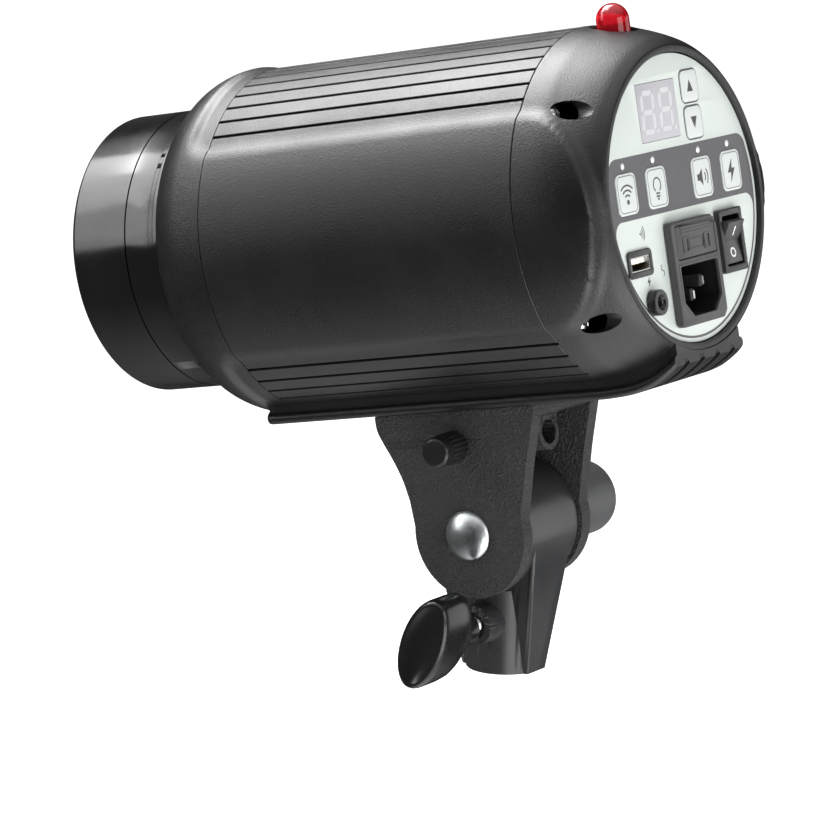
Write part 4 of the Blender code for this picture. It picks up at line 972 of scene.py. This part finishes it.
def tilt_hardware():
    dome = [(0.0, 25.7), (1.5, 25.64), (3.2, 25.4), (5.0, 24.9), (6.8, 24.1), (8.0, 23.2), (8.6, 22.5),
            (8.7, 22.1), (8.4, 22.0), (3.9, 22.0), (3.9, -45.0), (0.0, -45.0)]
    piece(lathe("bolt_dome", dome, "x", BOLT, 64), "head", "chrome", stands_for=["tilt_bolt"], smooth=45)
    knob = [(0.0, -56.5), (11.6, -56.5), (13.0, -55.3), (13.4, -53.6), (13.4, -32.0), (12.6, -27.6),
            (10.8, -23.9), (4.2, -23.9), (4.2, -48.0), (0.0, -48.0)]
    piece(lathe("tilt_grip", knob, "x", BOLT, 96, 0.7), "tilt_knob", "grip", stands_for=["tilt_knob"],
          smooth=45)
    for sign, side in ((1, "right"), (-1, "left")):
        ring = band(4.5, 13.0, sign * 15.0, sign * 16.0)
        piece(lathe(f"washer_{side}", ring, "x", BOLT, 64, 0.2), "stand_adapter", "nylon",
              stands_for=[f"friction_washer_{side}"])
    ring = band(4.3, 9.5, -22.1, -23.6)
    piece(lathe("washer_knob", ring, "x", BOLT, 64, 0.2), "tilt_washer", "steel", stands_for=["tilt_washer"])


def umbrella_lock():
    """A small knurled thumb knob with a plain domed end."""
    stations = ((22.7, 4.2, 0.0), (22.8, 4.9, 0.2), (23.4, 5.35, 0.5), (30.6, 5.35, 0.5), (31.2, 5.2, 0.2),
                (31.4, 5.3, 0.0), (34.9, 5.25, 0.0), (35.6, 5.0, 0.0), (36.05, 4.5, 0.0), (36.2, 3.9, 0.0),
                (36.2, 1.2, 0.0))
    rings = []
    for x, radius, teeth in stations:
        ring = []
        for i in range(120):
            turn = 2 * math.pi * i / 120
            reach = radius + teeth * 0.5 * math.cos(20 * turn)
            ring.append((x, UMBRELLA_LOCK[0] + reach * math.cos(turn),
                         UMBRELLA_LOCK[1] + reach * math.sin(turn)))
        rings.append(ring)
    piece(loft("lock_grip", rings), "umbrella_lock_knob", "nylon", stands_for=["umbrella_lock_knob"],
          smooth=40)
    piece(lathe("lock_thread", thread(5.3, 26.0, 2.5), "x", UMBRELLA_LOCK, 32), "umbrella_lock_knob", "steel",
          stands_for=["umbrella_lock_screw"])


def thread(low, high, radius, pitch=0.9):
    """(radius, along) points of a screw's ridges, closed at both ends."""
    rows = [(0.0, low), (radius - 0.6, low)]
    count = int((high - low) / pitch)
    for i in range(count):
        rows += [(radius - 0.35, low + (i + 0.1) * pitch), (radius, low + (i + 0.5) * pitch)]
    return rows + [(radius - 0.35, high - 0.05), (0.0, high)]


# ---------------------------------------------------------------- the stand adapter


def adapter():
    sleeve = [(0.0, 0.0), (12.9, 0.0), (13.3, 0.4), (13.3, 30.0), (0.0, 30.0)]
    made = piece(lathe("adapter", sleeve, "z", segments=96), "stand_adapter", "casting", WORLD,
                 ["stand_adapter"])
    sections = ((0.15, 0.0, (12.0, 27.2)), (47.0, -1.65, (24.5, 42.3)))
    rings = [[(a, b, z) for a, b in rectangle((0.0, y), size, 0.5, 1)] for z, y, size in sections]
    cut(made, loft("neck", rings), WORLD, "UNION")
    cut(made, rod("barrel", BARREL_R, -14.8, 14.8, "x", BARREL, 96), WORLD, "UNION")
    boss = [(0.0, 5.0), (7.6, 5.0), (7.2, 14.0), (7.0, 20.0), (4.7, 20.0), (4.4, 18.8), (0.0, 18.8)]
    cut(made, lathe("boss", boss, "x", CLAMP, 64), WORLD, "UNION")
    for hole in (rod("bore", SOCKET_R, -2.0, 27.0, "z", segments=64),
                 rod("screw", 3.3, 0.0, 30.0, "x", CLAMP),
                 rod("pivot", BOLT_HOLE_R, -30.0, 30.0, "x", BARREL)):
        cut(made, hole, WORLD)
    round_edges(made, 0.45)


def clamp_knob():
    """The oval wing: a round hub that spreads into a leaning oval with a dished face."""
    stations = ((25.0, 5.4, 5.4), (25.3, 6.0, 6.0), (30.0, 6.0, 6.2), (31.2, 6.1, 7.4), (32.4, 6.4, 10.0),
                (33.6, 6.9, 12.6), (35.0, 7.5, 14.9), (36.4, 8.0, 16.1), (38.0, 8.35, 16.8),
                (42.0, 8.6, 17.2),
                (50.0, 8.6, 17.2), (51.4, 8.5, 17.0), (52.4, 8.2, 16.6), (53.0, 7.7, 16.0), (53.2, 7.1, 15.3),
                (52.95, 6.6, 14.7), (52.4, 5.7, 13.2), (51.8, 4.2, 10.0), (51.4, 2.4, 6.0), (51.25, 0.8, 2.0))
    lean = math.radians(-21.0)
    rings = []
    for x, wide, high in stations:
        ring = []
        for i in range(96):
            a = wide * math.cos(2 * math.pi * i / 96)
            b = high * math.sin(2 * math.pi * i / 96)
            y = a * math.cos(lean) - b * math.sin(lean)
            ring.append((x, y, CLAMP[1] + a * math.sin(lean) + b * math.cos(lean)))
        rings.append(ring)
    piece(loft("wing_grip", rings), "clamp_knob", "knob", WORLD, ["clamp_knob"], smooth=50)
    piece(lathe("wing_thread", thread(10.3, 30.0, 3.0), "x", CLAMP, 40), "clamp_knob", "steel", WORLD,
          ["clamp_screw"])


# ---------------------------------------------------------------- behind the front cap


def lamps():
    """The modelling lamp's bulb, and the flash tube bent into a ring round it with two straight legs."""
    bulb = [(0.0, -176.4), (6.0, -176.4), (6.0, -191.0), (7.4, -195.5), (8.7, -200.5), (9.0, -205.0),
            (8.5, -209.0), (6.9, -212.6), (4.2, -214.9), (1.6, -215.55), (0.0, -215.6)]
    piece(lathe("bulb_glass", bulb, segments=64), "head", "glass", stands_for=["modelling_lamp"], smooth=50)
    ring_r = 24.0
    first = -165.0
    turns = [math.radians(first - 2 * first * i / 72) for i in range(73)]
    route = [(ring_r * math.cos(turn), -193.0, ring_r * math.sin(turn)) for turn in turns]
    legs = [[(end[0], y, end[2]) for y in (-176.0, -190.2, -192.2)] for end in (route[0], route[-1])]
    route = legs[0] + route + legs[1][::-1]
    rings = []
    for i, here in enumerate(route):
        along = (Vector(route[min(i + 1, len(route) - 1)]) - Vector(route[max(i - 1, 0)])).normalized()
        out = Vector((here[0], 0.0, here[2])).normalized()
        side = along.cross(out).normalized()
        out = side.cross(along)
        around = [2 * math.pi * k / 20 for k in range(20)]
        rings.append([tuple(Vector(here) + 2.8 * (math.cos(a) * out + math.sin(a) * side)) for a in around])
    piece(loft("tube_glass", rings), "head", "glass", stands_for=["flash_tube"], smooth=50)


# ---------------------------------------------------------------- floor, light and camera


def studio():
    """A pale floor, and a world that is plain to the eye but has a bright ceiling in reflections."""
    corners = [(9000 * a, 9000 * b, -350) for a, b in ((-1, -1), (1, -1), (1, 1), (-1, 1))]
    floor_mesh = mesh_of("floor", corners, [(0, 1, 2, 3)])
    floor = linked("floor", floor_mesh)
    look = surface("floor_look", (0.93, 0.93, 0.93), 0.8, 30, 0.1, 0.05, 0.01, Emission_Strength=0.75)
    floor_mesh.materials.append(look)
    floor.visible_glossy = False
    world = bpy.data.worlds.new("studio")
    bpy.context.scene.world = world
    world.use_nodes = True
    tree = world.node_tree
    up = node(tree, "ShaderNodeSeparateXYZ", {0: node(tree, "ShaderNodeTexCoord").outputs["Generated"]})
    ceiling = spread(tree, up.outputs["Z"], 0.05, 5.2, 0.50, 1.0)
    fading = spread(tree, up.outputs["Y"], 1.0, 0.3, -0.6, -0.1)
    ceiling = node(tree, "ShaderNodeMath", {0: ceiling, 1: fading}, operation="MULTIPLY").outputs[0]
    below = spread(tree, up.outputs["Z"], 0.42, 0.0, -1.0, -0.55)
    rising = spread(tree, up.outputs["Y"], 0.7, 4.5, -0.5, -0.05)
    below = node(tree, "ShaderNodeMath", {0: below, 1: rising}, operation="MULTIPLY").outputs[0]
    seen = node(tree, "ShaderNodeMath", {0: ceiling, 1: below}, operation="ADD").outputs[0]
    mirrored = node(tree, "ShaderNodeLightPath").outputs["Is Glossy Ray"]
    level = node(tree, "ShaderNodeMix", {"Factor": mirrored, 2: 0.42, 3: seen}, data_type="FLOAT").outputs[0]
    tree.links.new(level, tree.nodes["Background"].inputs["Strength"])
    tree.nodes["Background"].inputs["Color"].default_value = (1.0, 1.0, 1.0, 1.0)


def softbox(name, place, aim, size, power, upright=(0.0, 0.0, 1.0)):
    """A rectangular light; upright says which way its second side lies."""
    lamp = bpy.data.lights.new(name, "AREA")
    lamp.shape = "RECTANGLE"
    lamp.size = size[0]
    lamp.size_y = size[1]
    lamp.energy = power
    made = linked(name, lamp)
    made.visible_camera = False
    back = (Vector(place) - Vector(aim)).normalized()
    across = Vector(upright).cross(back).normalized()
    turn = Matrix((across, back.cross(across), back)).transposed().to_4x4()
    made.matrix_world = Matrix.Translation(place) @ turn


def camera():
    """Looks at the rear and right side from a little above."""
    azimuth = math.radians(33.34)
    elevation = math.radians(11.918)
    roll = math.radians(0.8988)
    target = Vector((0.0605, 0.0022, 0.0989))
    out = Vector((math.cos(elevation) * math.cos(azimuth), math.cos(elevation) * math.sin(azimuth),
                  math.sin(elevation)))
    lens = bpy.data.cameras.new("camera")
    lens.lens = 181.5
    lens.sensor_width = 36.0
    distance = 1.4
    made = linked("camera", lens)
    turn = (-out).to_track_quat("-Z", "Y").to_matrix().to_4x4() @ Matrix.Rotation(roll, 4, "Z")
    made.matrix_world = Matrix.Translation(target + distance * out) @ turn
    bpy.context.scene.camera = made


dress_nodes()
front_shoulder()
ribbed_body()
rear_housing()
shell_screws()
rail()
front_end()
sensor()
panel_plate()
panel_band()
key_caps()
key_icons()
panel_icons()
display()
indicators()
inlet()
fuse_drawer()
power_switch()
small_sockets()
yoke()
tilt_hardware()
umbrella_lock()
adapter()
clamp_knob()
lamps()
studio()
softbox("overhead", (-0.15, -0.72, 1.2), (-0.05, -0.15, 0.15), (1.0, 0.8), 31.0)
softbox("side", (1.05, -1.32, 0.8), (0.0, -0.14, 0.16), (0.8, 0.9), 1.5)
softbox("front", (0.77, -0.92, 0.42), (0.05, -0.14, 0.14), (0.26, 0.52), 1.5, (-0.47, -0.16, 0.87))
softbox("front_high", (0.29, -1.0, 0.82), (0.04, -0.14, 0.16), (0.26, 0.80), 4.0, (-0.95, -0.07, 0.32))
softbox("kicker", (-1.0, 0.75, 0.05), (0.0, 0.0, 0.08), (0.8, 0.8), 3.0)
softbox("rear", (0.2, 1.5, 0.4), (0.0, 0.0, 0.14), (1.0, 0.8), 7.0)
softbox("low", (0.25, 0.6, -0.3), (0.05, 0.0, 0.12), (0.8, 0.5), 5.0)
camera()
bpy.context.scene.view_settings.view_transform = "Standard"
